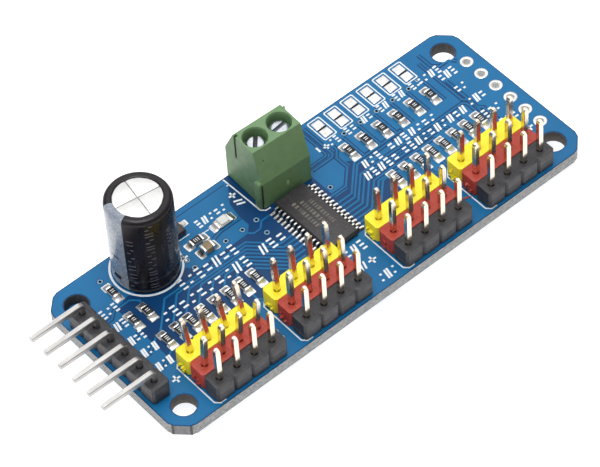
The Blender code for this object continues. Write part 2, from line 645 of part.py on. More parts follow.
def resistor_row(name, first_x, pitch, ways, y):
    xs = [first_x + pitch * k for k in range(ways)]
    link = ((xs[0], y - 0.6 * MM), (xs[-1], y - 0.3 * MM))
    resistor_group(name, [(x, y) for x in xs], [link])


def resistors():
    resistor_row("output_resistors_left", OUTPUT_LEFT_X, OUTPUT_PITCH, 8, OUTPUT_Y)
    resistor_row("output_resistors_right", OUTPUT_RIGHT_X, OUTPUT_PITCH, 8, OUTPUT_Y)
    resistor_row("address_resistors", ADDRESS_X, PITCH, ADDRESS_WAYS, ADDRESS_Y)
    (x1, y1), (x2, y2), (x3, y3) = PULLUP_AT
    width = 0.15 * MM
    links = [((x1 - width, y3 - width), (x1 + width, y1)), ((x2, y3 - width), (x3, y3 + width))]
    resistor_group("pullup_resistors", PULLUP_AT, links)


def main():
    clear_objects()
    circuit_board()
    header_strips()
    signal_pins()
    joined_pin_row("servo_power_pins", ROW_Y["red"])
    joined_pin_row("ground_pins", ROW_Y["black"])
    control_header()
    control_pins()
    terminal_block()
    capacitor()
    driver_chip()
    protection_transistor()
    lamp_and_neighbours()
    resistors()


main()
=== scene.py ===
import math
import random

import bmesh
import bpy
from mathutils import Matrix, Vector


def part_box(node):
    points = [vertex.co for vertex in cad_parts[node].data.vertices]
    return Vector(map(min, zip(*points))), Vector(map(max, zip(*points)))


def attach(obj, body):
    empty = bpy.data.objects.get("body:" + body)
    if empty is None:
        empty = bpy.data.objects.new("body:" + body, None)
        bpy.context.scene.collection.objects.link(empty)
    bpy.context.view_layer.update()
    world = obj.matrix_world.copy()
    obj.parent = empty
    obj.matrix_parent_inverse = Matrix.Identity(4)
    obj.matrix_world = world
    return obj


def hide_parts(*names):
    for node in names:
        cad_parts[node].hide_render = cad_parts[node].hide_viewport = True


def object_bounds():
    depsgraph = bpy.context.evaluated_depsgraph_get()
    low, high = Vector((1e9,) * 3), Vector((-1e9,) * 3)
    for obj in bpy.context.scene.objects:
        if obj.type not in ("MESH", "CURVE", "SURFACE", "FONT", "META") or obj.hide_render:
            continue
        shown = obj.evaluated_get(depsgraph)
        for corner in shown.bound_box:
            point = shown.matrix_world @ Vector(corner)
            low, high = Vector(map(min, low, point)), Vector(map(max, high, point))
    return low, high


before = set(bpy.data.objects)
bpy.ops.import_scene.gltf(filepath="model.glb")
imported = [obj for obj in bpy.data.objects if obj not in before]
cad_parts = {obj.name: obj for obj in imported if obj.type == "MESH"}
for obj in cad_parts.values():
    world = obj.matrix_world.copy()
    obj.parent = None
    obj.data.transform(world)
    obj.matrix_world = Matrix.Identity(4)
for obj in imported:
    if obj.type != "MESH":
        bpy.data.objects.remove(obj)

cad_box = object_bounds()
MM = 0.001
BOARD_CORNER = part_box("circuit_board")[1] / MM
HALF_X, HALF_Y, TOP = BOARD_CORNER              # TOP is the component side of the board, in mm

PITCH = 2.54
scene = bpy.context.scene


def extent(name):
    """The two corners of a CAD node's box, in mm."""
    return [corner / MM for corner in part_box(name)]


def centre(name):
    """Middle of a CAD node's box, in mm."""
    low, high = extent(name)
    return (low + high) / 2


# ---------- materials

def node(tree, kind, **values):
    made = tree.nodes.new(kind)
    for key, value in values.items():
        if key in made.inputs:
            made.inputs[key].default_value = value
        else:
            setattr(made, key, value)
    return made


def grain(tree, scale, detail=3.0, stretch=(1, 1, 1)):
    """A noise value over the object's own space; scale is in features per metre."""
    place = node(tree, "ShaderNodeTexCoord")
    mapping = node(tree, "ShaderNodeMapping", Scale=stretch)
    tree.links.new(place.outputs["Object"], mapping.inputs["Vector"])
    made = node(tree, "ShaderNodeTexNoise", Scale=scale, Detail=detail)
    tree.links.new(mapping.outputs["Vector"], made.inputs["Vector"])
    return made.outputs["Fac"]


def spread(tree, value, low, high, start=0.3, end=0.7):
    """A value moved from the range start..end to the range low..high."""
    ends = {"From Min": start, "From Max": end, "To Min": low, "To Max": high}
    made = node(tree, "ShaderNodeMapRange", **ends)
    tree.links.new(value, made.inputs["Value"])
    return made.outputs["Result"]


def blended(tree, value, first, second):
    """Two colours, or two colour sockets, mixed by a value."""
    made = node(tree, "ShaderNodeMix", data_type="RGBA")
    tree.links.new(value, made.inputs["Factor"])
    for socket, colour in ((made.inputs[6], first), (made.inputs[7], second)):
        if isinstance(colour, bpy.types.NodeSocket):
            tree.links.new(colour, socket)
        else:
            socket.default_value = (*colour, 1)
    return made.outputs[2]


def finish(name, colour, other=None, patch=900.0, rough=(0.35, 0.45), metal=0.0, bump=0.05,
           fine=6000.0, stretch=(1, 1, 1), flecks=None, **sockets):
    """A Principled finish: patchy colour, uneven gloss and a fine surface grain."""
    made = bpy.data.materials.new(name)
    made.use_nodes = True
    tree = made.node_tree
    shader = tree.nodes["Principled BSDF"]
    other = other or tuple(c * 0.85 for c in colour)
    tint = blended(tree, spread(tree, grain(tree, patch, 4.0, stretch), 0, 1), colour, other)
    if flecks:
        fleck_colour, fleck_scale, share = flecks
        where = spread(tree, grain(tree, fleck_scale, 2.0), 0, 1, share, share + 0.06)
        tint = blended(tree, where, tint, fleck_colour)
    tree.links.new(tint, shader.inputs["Base Color"])
    gloss = spread(tree, grain(tree, patch * 1.7, 3.0, stretch), *rough)
    tree.links.new(gloss, shader.inputs["Roughness"])
    shader.inputs["Metallic"].default_value = metal
    relief = node(tree, "ShaderNodeBump", Strength=bump, Distance=0.00005)
    tree.links.new(grain(tree, fine, 4.0, stretch), relief.inputs["Height"])
    tree.links.new(relief.outputs["Normal"], shader.inputs["Normal"])
    for key, value in sockets.items():
        shader.inputs[key.replace("_", " ")].default_value = value
    return made


MASK = finish("mask_over_copper", (0.006, 0.142, 0.335), (0.004, 0.126, 0.305), 260, (0.36, 0.46),
              bump=0.10, fine=3500, Specular_IOR_Level=0.25)
MASK_BARE = finish("mask_over_laminate", (0.001, 0.045, 0.150), (0.001, 0.038, 0.132), 300,
                   (0.34, 0.46), bump=0.12, fine=3500, Specular_IOR_Level=0.25)
PRINT = finish("printed_marks", (0.84, 0.87, 0.90), (0.74, 0.79, 0.84), 1800, (0.5, 0.65), bump=0.2)
SOLDER = finish("solder", (0.80, 0.79, 0.77), (0.56, 0.55, 0.54), 1500, (0.24, 0.42), 1.0,
                bump=0.25, fine=2600)
PLATED = finish("plated_pin", (0.86, 0.78, 0.66), (0.72, 0.62, 0.50), 1300, (0.12, 0.24), 1.0,
                bump=0.10, fine=3800, stretch=(3, 3, 0.4))
SILVER = finish("silvery_pin", (0.57, 0.56, 0.545), (0.42, 0.41, 0.40), 1300, (0.28, 0.42), 1.0,
                bump=0.10, fine=3800, stretch=(0.4, 3, 3))
TIN = finish("dull_tin", (0.72, 0.72, 0.70), (0.58, 0.58, 0.57), 1500, (0.25, 0.45), 1.0, bump=0.2)
YELLOW = finish("yellow_nylon", (0.97, 0.84, 0.022), (0.93, 0.77, 0.016), 700, (0.32, 0.48),
                bump=0.22, fine=4200, Subsurface_Weight=0.08, Subsurface_Scale=0.0006)
RED = finish("red_nylon", (0.45, 0.048, 0.024), (0.38, 0.036, 0.019), 900, (0.38, 0.55),
             bump=0.30, fine=4200)
BLACK = finish("black_nylon", (0.036, 0.035, 0.040), (0.026, 0.025, 0.029), 1100, (0.40, 0.58),
               bump=0.35, fine=4600)
GREEN = finish("green_polyamide", (0.150, 0.270, 0.125), (0.128, 0.238, 0.106), 900, (0.42, 0.56),
               bump=0.28, fine=5200)
PALE_GREEN = finish("gate_mark", (0.40, 0.52, 0.36), (0.18, 0.30, 0.15), 2500, (0.45, 0.6), bump=0.3)
ZINC = finish("zinc_screw", (0.62, 0.64, 0.67), (0.40, 0.42, 0.46), 1900, (0.16, 0.34), 1.0,
              bump=0.22, fine=3000)
# painted shade for the first screw's slot walls, and a painted bluish reflection for the second screw's slot
# walls
SLOT_PAINTED_SHADE = finish("slot_painted_shading", (0.10, 0.10, 0.105), (0.04, 0.04, 0.045), 2400, (0.4, 0.6), 0.7, bump=0.3)
SLOT_PAINTED_GLEAM = finish("slot_painted_reflection", (0.36, 0.40, 0.46), (0.22, 0.25, 0.30), 2400, (0.3, 0.5), 0.8, bump=0.3)
BRASS = finish("clamp_metal", (0.66, 0.60, 0.45), (0.50, 0.44, 0.32), 1500, (0.25, 0.42), 1.0)
SLEEVE = finish("shrink_sleeve", (0.006, 0.004, 0.006), (0.010, 0.007, 0.010), 500, (0.22, 0.34),
                bump=0.10, fine=1200, stretch=(1, 1, 0.3), Specular_IOR_Level=0.32)
SLEEVE_INK = finish("sleeve_ink", (0.16, 0.15, 0.17), (0.10, 0.09, 0.11), 1600, (0.3, 0.45), bump=0.2)
STRIPE = finish("sleeve_stripe", (0.27, 0.30, 0.35), (0.15, 0.18, 0.24), 800, (0.16, 0.28),
                bump=0.10, fine=1200, flecks=((0.40, 0.43, 0.48), 4800, 0.60), Coat_Weight=0.2)
ALUMINIUM = finish("can_top", (0.71, 0.71, 0.70), (0.64, 0.64, 0.63), 1400, (0.42, 0.54), 1.0,
                   bump=0.18, fine=4200)
BARREL = finish("hole_barrel", (0.86, 0.86, 0.84), (0.74, 0.74, 0.72), 2500, (0.5, 0.65), 0.25, bump=0.2)
# painted shade: darker metal for the floor of the capacitor's vent cross
VENT_SHADE = finish("vent_painted_shade", (0.34, 0.34, 0.34), (0.18, 0.18, 0.18), 2500, (0.4, 0.6), 0.8)
RUBBER = finish("rubber_bung", (0.030, 0.030, 0.030), None, 1500, (0.7, 0.85), bump=0.3)
EPOXY = finish("chip_body", (0.033, 0.029, 0.032), (0.025, 0.022, 0.025), 1400, (0.42, 0.56),
               bump=0.40, fine=6500, flecks=((0.062, 0.057, 0.060), 5200, 0.63))
MARKED = finish("chip_marking", (0.165, 0.145, 0.120), (0.090, 0.080, 0.070), 2500, (0.5, 0.62), bump=0.3)
GLAZE = finish("resistor_glaze", (0.011, 0.011, 0.012), (0.018, 0.017, 0.017), 1700, (0.30, 0.45),
               bump=0.15, Specular_IOR_Level=0.3)
CERAMIC = finish("alumina", (0.60, 0.59, 0.56), (0.50, 0.49, 0.46), 2500, (0.5, 0.65), bump=0.2)
END_METAL = finish("end_cap", (0.93, 0.92, 0.90), (0.70, 0.69, 0.67), 2200, (0.18, 0.36), 1.0,
                   bump=0.3, fine=4200)
TAN = finish("capacitor_ceramic", (0.27, 0.185, 0.090), (0.21, 0.140, 0.066), 1700, (0.30, 0.45))
CLEAR = finish("lamp_resin", (0.93, 0.94, 0.92), (0.88, 0.90, 0.87), 2400, (0.06, 0.14),
               Transmission_Weight=0.30, IOR=1.5)
WHITE_BASE = finish("lamp_base", (0.78, 0.77, 0.72), (0.68, 0.66, 0.60), 2200, (0.45, 0.6))
DIE = finish("lamp_die", (0.25, 0.45, 0.16), (0.40, 0.42, 0.15), 4000, (0.3, 0.4))
# painted shade: dark brown for the walls of the mounting holes and the ends of the cut corner
BORE_SHADE = finish("bore_painted_shade", (0.105, 0.092, 0.082), (0.050, 0.044, 0.040), 2600, (0.6, 0.8),
              bump=0.5, fine=5200, stretch=(1, 1, 2.2))
# painted shade: darker grey for the cut face of the front left corner
CUT_FACE_SHADE = finish("cut_face_painted_shade", (0.24, 0.24, 0.245), (0.16, 0.16, 0.165), 2600, (0.7, 0.85),
                   bump=0.5, fine=5200)
VIA_RING = finish("via_ring", (0.21, 0.34, 0.46), (0.13, 0.27, 0.42), 2600, (0.30, 0.42), bump=0.2)
# painted shade: near-black for the board between the chip's leads and between the jumper pads
SHADED = finish("painted_shade_in_gaps", (0.002, 0.010, 0.030), (0.001, 0.007, 0.022), 900, (0.5, 0.7),
                Specular_IOR_Level=0.2)
# painted shade: a near-black disc in place of the chip's pin one dimple
DIMPLE_SHADE = finish("dimple_painted_shade", (0.012, 0.011, 0.013), (0.008, 0.007, 0.009), 2000, (0.55, 0.7))
# painted shade: near-black for the mouths of holes and pits, and for a groove beside the terminal's ridge
HOLE_SHADE = finish("hole_painted_shade", (0.030, 0.032, 0.036), (0.018, 0.020, 0.024), 3000, (0.5, 0.7))
LEAF = finish("fibre_bit", (0.35, 0.07, 0.03), (0.20, 0.05, 0.03), 3000, (0.6, 0.7))


def board_finish():
    """Solder mask on the two flat faces, cut glass-fibre laminate on every edge."""
    made = MASK_BARE.copy()
    made.name = "board_mask_and_edge"
    tree = made.node_tree
    shader = tree.nodes["Principled BSDF"]
    speckle = spread(tree, grain(tree, 4200, 3.0, (1, 1, 2.2)), 0, 1, 0.38, 0.62)
    plies = node(tree, "ShaderNodeTexWave", Scale=1250.0, Distortion=3.0, Detail=3.0, bands_direction="Z")
    place = node(tree, "ShaderNodeTexCoord")
    tree.links.new(place.outputs["Object"], plies.inputs["Vector"])
    fibre = blended(tree, plies.outputs["Fac"], (0.50, 0.51, 0.50), (0.33, 0.34, 0.33))
    fibre = blended(tree, speckle, (0.20, 0.20, 0.21), fibre)
    facing = tree.nodes.new("ShaderNodeNewGeometry")
    parts = tree.nodes.new("ShaderNodeSeparateXYZ")
    tree.links.new(facing.outputs["True Normal"], parts.inputs["Vector"])
    size = node(tree, "ShaderNodeMath", operation="ABSOLUTE")
    tree.links.new(parts.outputs["Z"], size.inputs[0])
    flat = node(tree, "ShaderNodeMath", operation="GREATER_THAN")
    flat.inputs[1].default_value = 0.7
    tree.links.new(size.outputs[0], flat.inputs[0])
    mask = shader.inputs["Base Color"].links[0].from_socket
    tree.links.new(blended(tree, flat.outputs[0], fibre, mask), shader.inputs["Base Color"])
    tree.links.new(spread(tree, flat.outputs[0], 0.75, 0.36, 0, 1), shader.inputs["Roughness"])
    return made


# ---------- geometry

class Shape:
    """Faces gathered in mm, each with a material number, then made into one piece."""

    def __init__(self, *materials):
        self.materials = materials
        self.points, self.faces, self.kinds = [], [], []

    def add(self, points, faces, kind=0):
        base = len(self.points)
        self.points += [tuple(p) for p in points]
        self.faces += [tuple(base + i for i in f) for f in faces]
        self.kinds += [kind] * len(faces)

    def loops(self, rings, kind=0, close=False, caps=True):
        """Rings with the same number of points, joined in order."""
        count, total = len(rings[0]), len(rings)
        faces = []
        for k in range(total if close else total - 1):
            a, b = k * count, (k + 1) % total * count
            faces += [(a + i, a + (i + 1) % count, b + (i + 1) % count, b + i) for i in range(count)]
        if caps and not close:
            faces += [tuple(reversed(range(count))), tuple(range((total - 1) * count, total * count))]
        self.add([p for ring in rings for p in ring], faces, kind)

    def prism(self, outline, z0, z1, kind=0):
        self.loops([[(x, y, z) for x, y in outline] for z in (z0, z1)], kind)

    def box(self, low, high, kind=0):
        self.prism([(low[0], low[1]), (high[0], low[1]), (high[0], high[1]), (low[0], high[1])],
                   low[2], high[2], kind)

    def ribbon(self, path, width, z0, z1, kind=0):
        self.prism(ribbon_outline(path, width), z0, z1, kind)

    def lathe(self, profile, at, count, kind=0, close=False, level=0.0, up=1):
        """Profile of (radius, z) turned about a vertical axis; up is -1 for a profile that hangs."""
        self.loops([circle(r, count, at, level + up * z) for r, z in profile], kind, close)

    def ring(self, at, inner, outer, z0, z1, kind, count):
        self.lathe([(inner, z0), (outer, z0), (outer, z1), (inner, z1)], at, count, kind, True)

    def block(self, half_x, half_y, cut, profile, at=(0, 0), kind=0):
        """Cut-cornered rectangles, each (inset, z), joined in order."""
        self.loops([rectangle(half_x - i, half_y - i, cut, at, z) for i, z in profile], kind)

    def soft_block(self, half_x, half_y, z0, z1, soft, kind=0, y=0.0):
        """A block with softened edges."""
        self.block(half_x, half_y, soft * 1.2, ((soft, z0), (0, z0 + soft), (0, z1 - soft), (soft, z1)),
                   (0, y), kind)

    def pad(self, half_x, half_y, cut, at, kind, high=0.05):
        self.block(half_x, half_y, cut, ((0, 0.0), (0, high)), at, kind)

    def frame_line(self, outer, inner, z0, z1):
        """A closed line between two outlines."""
        self.loops([[(p[0], p[1], z) for p in outline] for outline, z in
                    ((inner, z0), (outer, z0), (outer, z1), (inner, z1))], close=True)

    def mesh(self, name, bevel=0.0, segments=2):
        """The mesh, with its sharp edges rounded by bevel mm."""
        mesh = bpy.data.meshes.new(name)
        mesh.from_pydata([Vector(p) * MM for p in self.points], [], self.faces)
        for material in self.materials:
            mesh.materials.append(material)
        mesh.polygons.foreach_set("material_index", self.kinds)
        bm = bmesh.new()
        bm.from_mesh(mesh)
        bmesh.ops.recalc_face_normals(bm, faces=bm.faces)
        if bevel:
            round_edges(bm, bevel, segments)
        bm.to_mesh(mesh)
        bm.free()
        return mesh

    def make(self, name, slot, replaces=(), bevel=0.0, segments=2, crease=38, turn=None):
        mesh = self.mesh(name, bevel, segments)
        if turn:
            mesh.transform(turn)
        piece(name, mesh, "board", replaces, crease)


class Cutters(list):
    """Shapes to cut away; each call starts a new one."""

    def __call__(self):
        self.append(Shape())
        return self[-1]


def round_edges(bm, bevel, segments=2, limit=30):
    sharp = [e for e in bm.edges if len(e.link_faces) == 2
             and e.calc_face_angle(0) > math.radians(limit)]
    bmesh.ops.bevel(bm, geom=sharp, offset=bevel * MM, segments=segments, profile=0.6,
                    affect="EDGES", clamp_overlap=True)


def piece(name, mesh, body="board", replaces=(), crease=38):
    made = bpy.data.objects.new(name, mesh)
    scene.collection.objects.link(made)
    mesh.polygons.foreach_set("use_smooth", [True] * len(mesh.polygons))
    mesh.set_sharp_from_angle(angle=math.radians(crease))
    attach(made, body)
    if replaces:
        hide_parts(*replaces)


def circle(radius, count, at=(0, 0), z=0.0):
    return [(at[0] + radius * math.cos(2 * math.pi * k / count),
             at[1] + radius * math.sin(2 * math.pi * k / count), z) for k in range(count)]


def rectangle(half_x, half_y, cut, at=(0, 0), z=0.0):
    """A rectangle with cut corners, eight points."""
    x, y = half_x, half_y
    return [(at[0] + a, at[1] + b, z) for a, b in
            ((x, -y + cut), (x, y - cut), (x - cut, y), (-x + cut, y),
             (-x, y - cut), (-x, -y + cut), (-x + cut, -y), (x - cut, -y))]


def ribbon_outline(path, width):
    """The outline of a strip of even width along a path, mitred at its bends."""
    path = [Vector(p) for p in path]
    ways = [(b - a).normalized() for a, b in zip(path, path[1:])]
    left, right = [], []
    for k, point in enumerate(path):
        before, after = ways[max(k - 1, 0)], ways[min(k, len(ways) - 1)]
        along = (before + after).normalized()
        side = Vector((-along.y, along.x)) * (width / 2 / max(along.dot(after), 0.4))
        left.append(tuple(point + side))
        right.append(tuple(point - side))
    return right + left[::-1]


def rounded_path(points, radius, steps=4):
    """A polyline with its inner corners rounded."""
    points = [Vector(p) for p in points]
    made = [points[0]]
    for a, b, c in zip(points, points[1:], points[2:]):
        into, out = (b - a).normalized(), (c - b).normalized()
        angle = into.angle(out)
        reach = radius * math.tan(angle / 2)
        start, end = b - into * reach, b + out * reach
        for k in range(steps + 1):
            t = k / steps
            made.append((1 - t) ** 2 * start + 2 * t * (1 - t) * b + t * t * end)
    made.append(points[-1])
    return made


def framed(points, plane):
    """Positions with their forward and up vectors, for a path that lies in one plane."""
    made = []
    for k, p in enumerate(points):
        forward = (points[min(k + 1, len(points) - 1)] - points[max(k - 1, 0)]).normalized()
        made.append((p, forward, plane.cross(forward).normalized()))
    return made


# ---------- board

GROUP_X = [centre(f"header_yellow_{g}").x for g in range(1, 5)]
ROW_Y = {colour: centre(f"header_{colour}_1").y for colour in ("black", "red", "yellow")}
PIN_XS = [x + (k - 1.5) * PITCH for x in GROUP_X for k in range(4)]
CONTROL_YS = [centre(f"control_pin_{k}").y for k in range(1, 7)]
CONTROL_X = centre("control_header_insulator").x
EMPTY_X = 29.04
HOLES = [(sx * 27.95, sy * 9.525) for sx in (-1, 1) for sy in (-1, 1)]
LEFT_XS = [-23.60 + 1.873 * k for k in range(8)]
RIGHT_XS = [10.89 + 1.873 * k for k in range(8)]
ADDRESS_XS = [9.57 + PITCH * k for k in range(6)]
RESISTOR_Y = -1.37
ADDRESS_Y = 5.45
PULLUP_AT = [(-23.88, 8.03), (-24.65, 3.25), (-22.69, 3.23)]
LAMP_RESISTOR_AT = (-12.15, 7.27)
CERAMIC_AT = (-11.93, 5.53)
LAMP_AT = (-8.05, 7.45)
TRANSISTOR_AT = (-12.85, 10.4)
CHIP_Y = 0.26
CAP_AT = (-18.65, 8.42)
CAP_LEAD_PITCH = 3.5
LEAD_YS = [CHIP_Y + 0.65 * (k - 6.5) for k in range(14)]

POUR_Z, TRACE_Z, MARK_Z = 0.020, 0.040, 0.050   # heights of copper areas, tracks and printing
VIAS = [(21.15, 8.06), (18.57, 8.06), (16.07, 8.06), (13.54, 8.06), (10.99, 8.06), (4.43, 3.00),
        (-5.31, 2.88), (-5.00, 5.12), (-7.14, 5.09), (-9.59, 5.12), (-14.65, 4.57), (-14.64, 5.96),
        (-23.90, 10.31), (-13.83, -8.65), (-13.86, -9.80)]
# areas with no copper under the mask; the second, at the left front in front of the capacitor, also stands
# for shade falling there (painted shade)
BARE_AND_SHADE_AREAS = [
    [(-3.95, 12.6), (-3.95, 11.4), (-5.15, 9.85), (-5.75, 8.95), (-6.15, 6.7), (-6.1, 5.2), (-7.0, 4.25),
     (-7.0, -4.1), (3.9, -4.1), (3.9, 12.6)],
    [(-14.6, 4.05), (-7.0, 4.25), (-7.0, -4.1), (-25.0, -4.1), (-25.0, 5.9), (-22.9, 6.6), (-15.4, 5.2)],
    [(3.9, 1.45), (5.75, 1.45), (8.3, 4.0), (8.3, 4.7), (9.0, 4.2), (10.2, 4.2), (10.2, -3.9), (3.9, -4.1)],
    [(10.2, 4.2), (16.4, 4.2), (16.4, 3.6), (14.4, 3.2), (10.2, 3.2)],
]
ADDRESS_PADS = [(22.28 - PITCH * i, 9.61) for i in range(6)]
CORNER_CUT, CORNER_EASE = 1.9, 0.25


def board_outline(inset):
    """The board's outline with its cut corners, moved in by inset."""
    x, y, cut, ease = HALF_X - inset, HALF_Y - inset, CORNER_CUT - 0.586 * inset, CORNER_EASE
    corner = [(0.0, cut + 2 * ease), (ease, cut - ease), (cut - ease, ease), (cut + 2 * ease, 0.0)]
    return [(sx * (x - a), sy * (y - b)) for sx, sy in ((1, 1), (-1, 1), (-1, -1), (1, -1))
            for a, b in (corner if sx == sy else corner[::-1])]


def fan_right():
    """Tracks from the chip's right side: out, across at 45 degrees, then along the board."""
    lanes = ((9, 3.95, None), (7, 5.0, 3.85), (6, 5.55, 3.40), (5, 6.20, 2.10), (4, 6.90, 1.65),
             (3, 7.70, 0.90), (2, 8.50, 0.32), (1, 9.25, -0.10), (0, 9.95, -0.40))
    ends = (None, 16.2, 14.2, 24.6, 22.4, 20.4, 18.4, 12.6, 10.9)
    paths = []
    for (lead, offset, lane), end in zip(lanes, ends):
        y = LEAD_YS[lead]
        if lane is None:
            paths.append([(3.2, y), (y + offset, y), (7.85, 7.85 - offset), (7.85, 5.85),
                          (8.75, 6.75), (8.75, 7.5)])
            continue
        path = [(3.2, y), (y + offset, y), (lane + offset, lane)]
        if end > 14:
            path += [(end - 0.4, lane), (end, lane - 0.4), (end, -0.2)] if lane < 3 else [(end, lane)]
        else:
            path += [(end, lane)]
        paths.append(path)
    return paths


def fan_left():
    """Tracks from the chip's left side down to the left resistors."""
    paths = []
    for k in range(8):
        y, x = LEAD_YS[7 - k], LEFT_XS[k]
        turn, lane = -5.2 - 0.10 * k, 3.45 - 0.42 * k
        if k == 7:
            paths.append([(-3.2, y), (turn, y), (turn - 3.7, y + 3.7), (x + 0.2, y + 3.7)])
            continue
        paths.append([(-3.2, y), (turn, y), (turn - (lane - y), lane), (x + lane + 0.1, lane), (x, -0.1)])
    return paths


def top_tracks():
    """(path, width, gap) of every track on the component side; a width of 0 is a bare line in the copper."""
    made = [(path, 0.25, 0.17) for path in fan_right() + fan_left()]
    made += [([(4.4, 6.25), (7.55, 6.25), (7.95, 6.65), (7.95, 11.9)], 0.26, 0.17),
             ([(4.4, 6.85), (7.05, 6.85), (7.35, 7.15), (7.35, 11.9)], 0.20, 0.15),
             ([(25.20, 5.9), (25.20, 0.4), (25.65, -0.05), (25.65, -2.6), (24.9, -3.4)], 0.26, 0.17),
             ([(24.60, 10.2), (24.60, 2.5), (25.05, 2.05), (25.05, -1.9)], 0.24, 0.16),
             ([(25.46, 11.2), (25.46, 9.0), (26.2, 8.2), (27.6, 8.2), (28.3, 7.4)], 0.26, 0.17),
             ([(-3.3, 4.60), (-4.7, 4.60), (-5.5, 3.80), (-6.5, 3.80), (-7.0, 4.30)], 0.22, 0.14),
             ([(-6.2, 6.62), (-9.2, 6.62), (-10.4, 6.30)], 0.30, 0.16),
             ([(-4.4, 11.66), (-15.0, 11.66)], 0, 0.06),
             ([(-27.4, 5.2), (-26.3, 5.2), (-25.4, 5.95), (-23.1, 5.95), (-22.3, 5.2), (-22.3, 4.6)],
              0.24, 0.15)]
    for k in range(1, 5):
        y = CONTROL_YS[k] - 0.4
        made.append(([(-27.5, y), (-26.2, y), (-24.9 + 0.2 * k, y + 1.3)], 0.22, 0.14))
    made += [([(x, -2.7), (x, -3.7), (x + 0.4, -4.2)], 0.24, 0.15) for x in LEFT_XS + RIGHT_XS]
    for x, y in ADDRESS_PADS:
        made += [([(x, y - 0.3), (x, 8.7)], 0.24, 0.15), ([(x + 0.9, 7.75), (x + 0.9, 3.9)], 0.24, 0.15)]
    return made


def top_faces():
    """Copper areas under the solder mask, cut back round each track, hole and pad, and the tracks."""
    areas = Shape(MASK)
    areas.prism(board_outline(0.12), TOP - 0.01, TOP + POUR_Z)
    low, high = TOP - 0.1, TOP + 0.1
    cutter = Cutters()
    for outline in BARE_AND_SHADE_AREAS:
        cutter().prism(outline, low, high)
    for path, width, gap in top_tracks():
        cutter().ribbon(path, width + 2 * gap, low, high)
    rounds = [(at, 1.70, 40) for at in HOLES] + [((EMPTY_X, y), 0.70, 28) for y in CONTROL_YS]
    for at, radius, count in rounds + [(at, 0.42, 20) for at in VIAS]:
        cutter().lathe([(radius, low), (radius, high)], at, count)
    mesh = carved(areas, cutter)
    one_material(mesh, MASK)
    piece("copper_areas", mesh)

    track = Shape(MASK)
    for path, width, _ in top_tracks():
        if width:
            track.ribbon(path, width, TOP - 0.005, TOP + TRACE_Z)
    track.make("tracks", "solder_mask_blue", bevel=0.014)


def vias_and_holes():
    ring = Shape(VIA_RING, HOLE_SHADE)
    for at in VIAS:
        ring.lathe([(0.35, -0.005), (0.34, 0.035), (0.28, 0.052), (0.20, 0.045), (0.165, 0.010),
                    (0.165, -0.005)], at, 20, close=True, level=TOP)
        # a dark disc of painted shade in the mouth of each via
        ring.lathe([(0.0001, TOP + 0.004), (0.17, TOP + 0.004)], at, 20, 1)
    ring.make("vias", "solder_mask_blue")

    pads = Shape(SOLDER, BARREL)
    land = [(0.50, -0.02), (0.82, -0.005), (0.82, 0.03), (0.78, 0.05), (0.56, 0.055), (0.50, 0.03)]
    for y in CONTROL_YS:
        at = (EMPTY_X, y)
        pads.lathe(land, at, 32, close=True, level=TOP)
        pads.lathe(land, at, 32, close=True, up=-1)
        pads.lathe([(0.505, 0.0), (0.505, TOP), (0.45, TOP), (0.45, 0.0)], at, 32, 1, True)
    pads.make("empty_hole_pads", "tinned_copper")

    rims = Shape(MASK, BORE_SHADE)
    for at in HOLES:
        # a lining of painted shade inside each mounting hole
        rims.ring(at, 1.47, 1.52, 0.01, TOP - 0.01, 1, 64)
        rims.ring(at, 1.60, 1.74, TOP - 0.004, TOP + 0.03, 0, 48)
    rims.make("hole_rims", "solder_mask_blue", bevel=0.01)

    # the front left corner: painted shade over its cut face, darker again at the two ends of the face
    corner_shade = Shape(CUT_FACE_SHADE, BORE_SHADE)
    start, end = Vector((-HALF_X, CORNER_CUT - HALF_Y)), Vector((CORNER_CUT - HALF_X, -HALF_Y))
    for first, last, kind in ((0.08, 0.92, 0), (0.07, 0.17, 1), (0.83, 0.93, 1)):
        path = [start.lerp(end, first), start.lerp(end, last)]
        corner_shade.ribbon(path, 0.03 + 0.02 * kind, 0.02, TOP - 0.02, kind)
    corner_shade.make("corner_painted_shade", "solder_mask_blue")


def jumper_pads():
    """Pairs of bare pads, each pair in a printed frame, with a line of painted shade between the two."""
    pads, frames = Shape(SOLDER, SHADED), Shape(PRINT)
    middle = 10.39
    for x, _ in ADDRESS_PADS:
        # a strip of painted shade between the two pads
        pads.box((x - 0.61, middle - 0.15, TOP - 0.005), (x + 0.61, middle + 0.15, TOP + 0.028), 1)
        for y in (middle + 0.73, middle - 0.73):
            pads.block(0.64, 0.61, 0.05, ((0, TOP - 0.005), (0, TOP + 0.05), (0.03, TOP + 0.075),
                                          (0.14, TOP + 0.085)), (x, y))
        frames.frame_line(rectangle(0.98, 1.70, 0.16, (x, middle)), rectangle(0.82, 1.54, 0.10, (x, middle)),
                          TOP, TOP + MARK_Z)
    pads.make("jumper_pads", "tinned_copper", crease=50)
    frames.make("jumper_frames", "solder_mask_blue", bevel=0.012, segments=1)


STROKES = {"slants": ((-0.9, -0.9, -0.1, 0.9), (0.2, -0.9, 1.0, 0.9)),
           "triple": [(-0.8, y, 0.8, y) for y in (-0.8, 0.0, 0.8)],
           "pair": [(-0.8, y, 0.8, y) for y in (-0.45, 0.45)],
           "steps": ((-0.95, -0.55, 0.0, -0.55), (0.0, 0.55, 0.95, 0.55)),
           "plus": ((-1, 0, 1, 0), (0, -1, 0, 1)),
           "minus": ((-0.85, 0, 0.85, 0),)}


def stroke_cell(shape, at, along, up, width, height, kind, thick):
    """One cell of plain printed strokes."""
    for x0, y0, x1, y1 in STROKES[kind]:
        ends = [at + along * x * width / 2 + up * y * height / 2 for x, y in ((x0, y0), (x1, y1))]
        shape.ribbon(ends, thick, TOP - 0.004, TOP + MARK_Z)


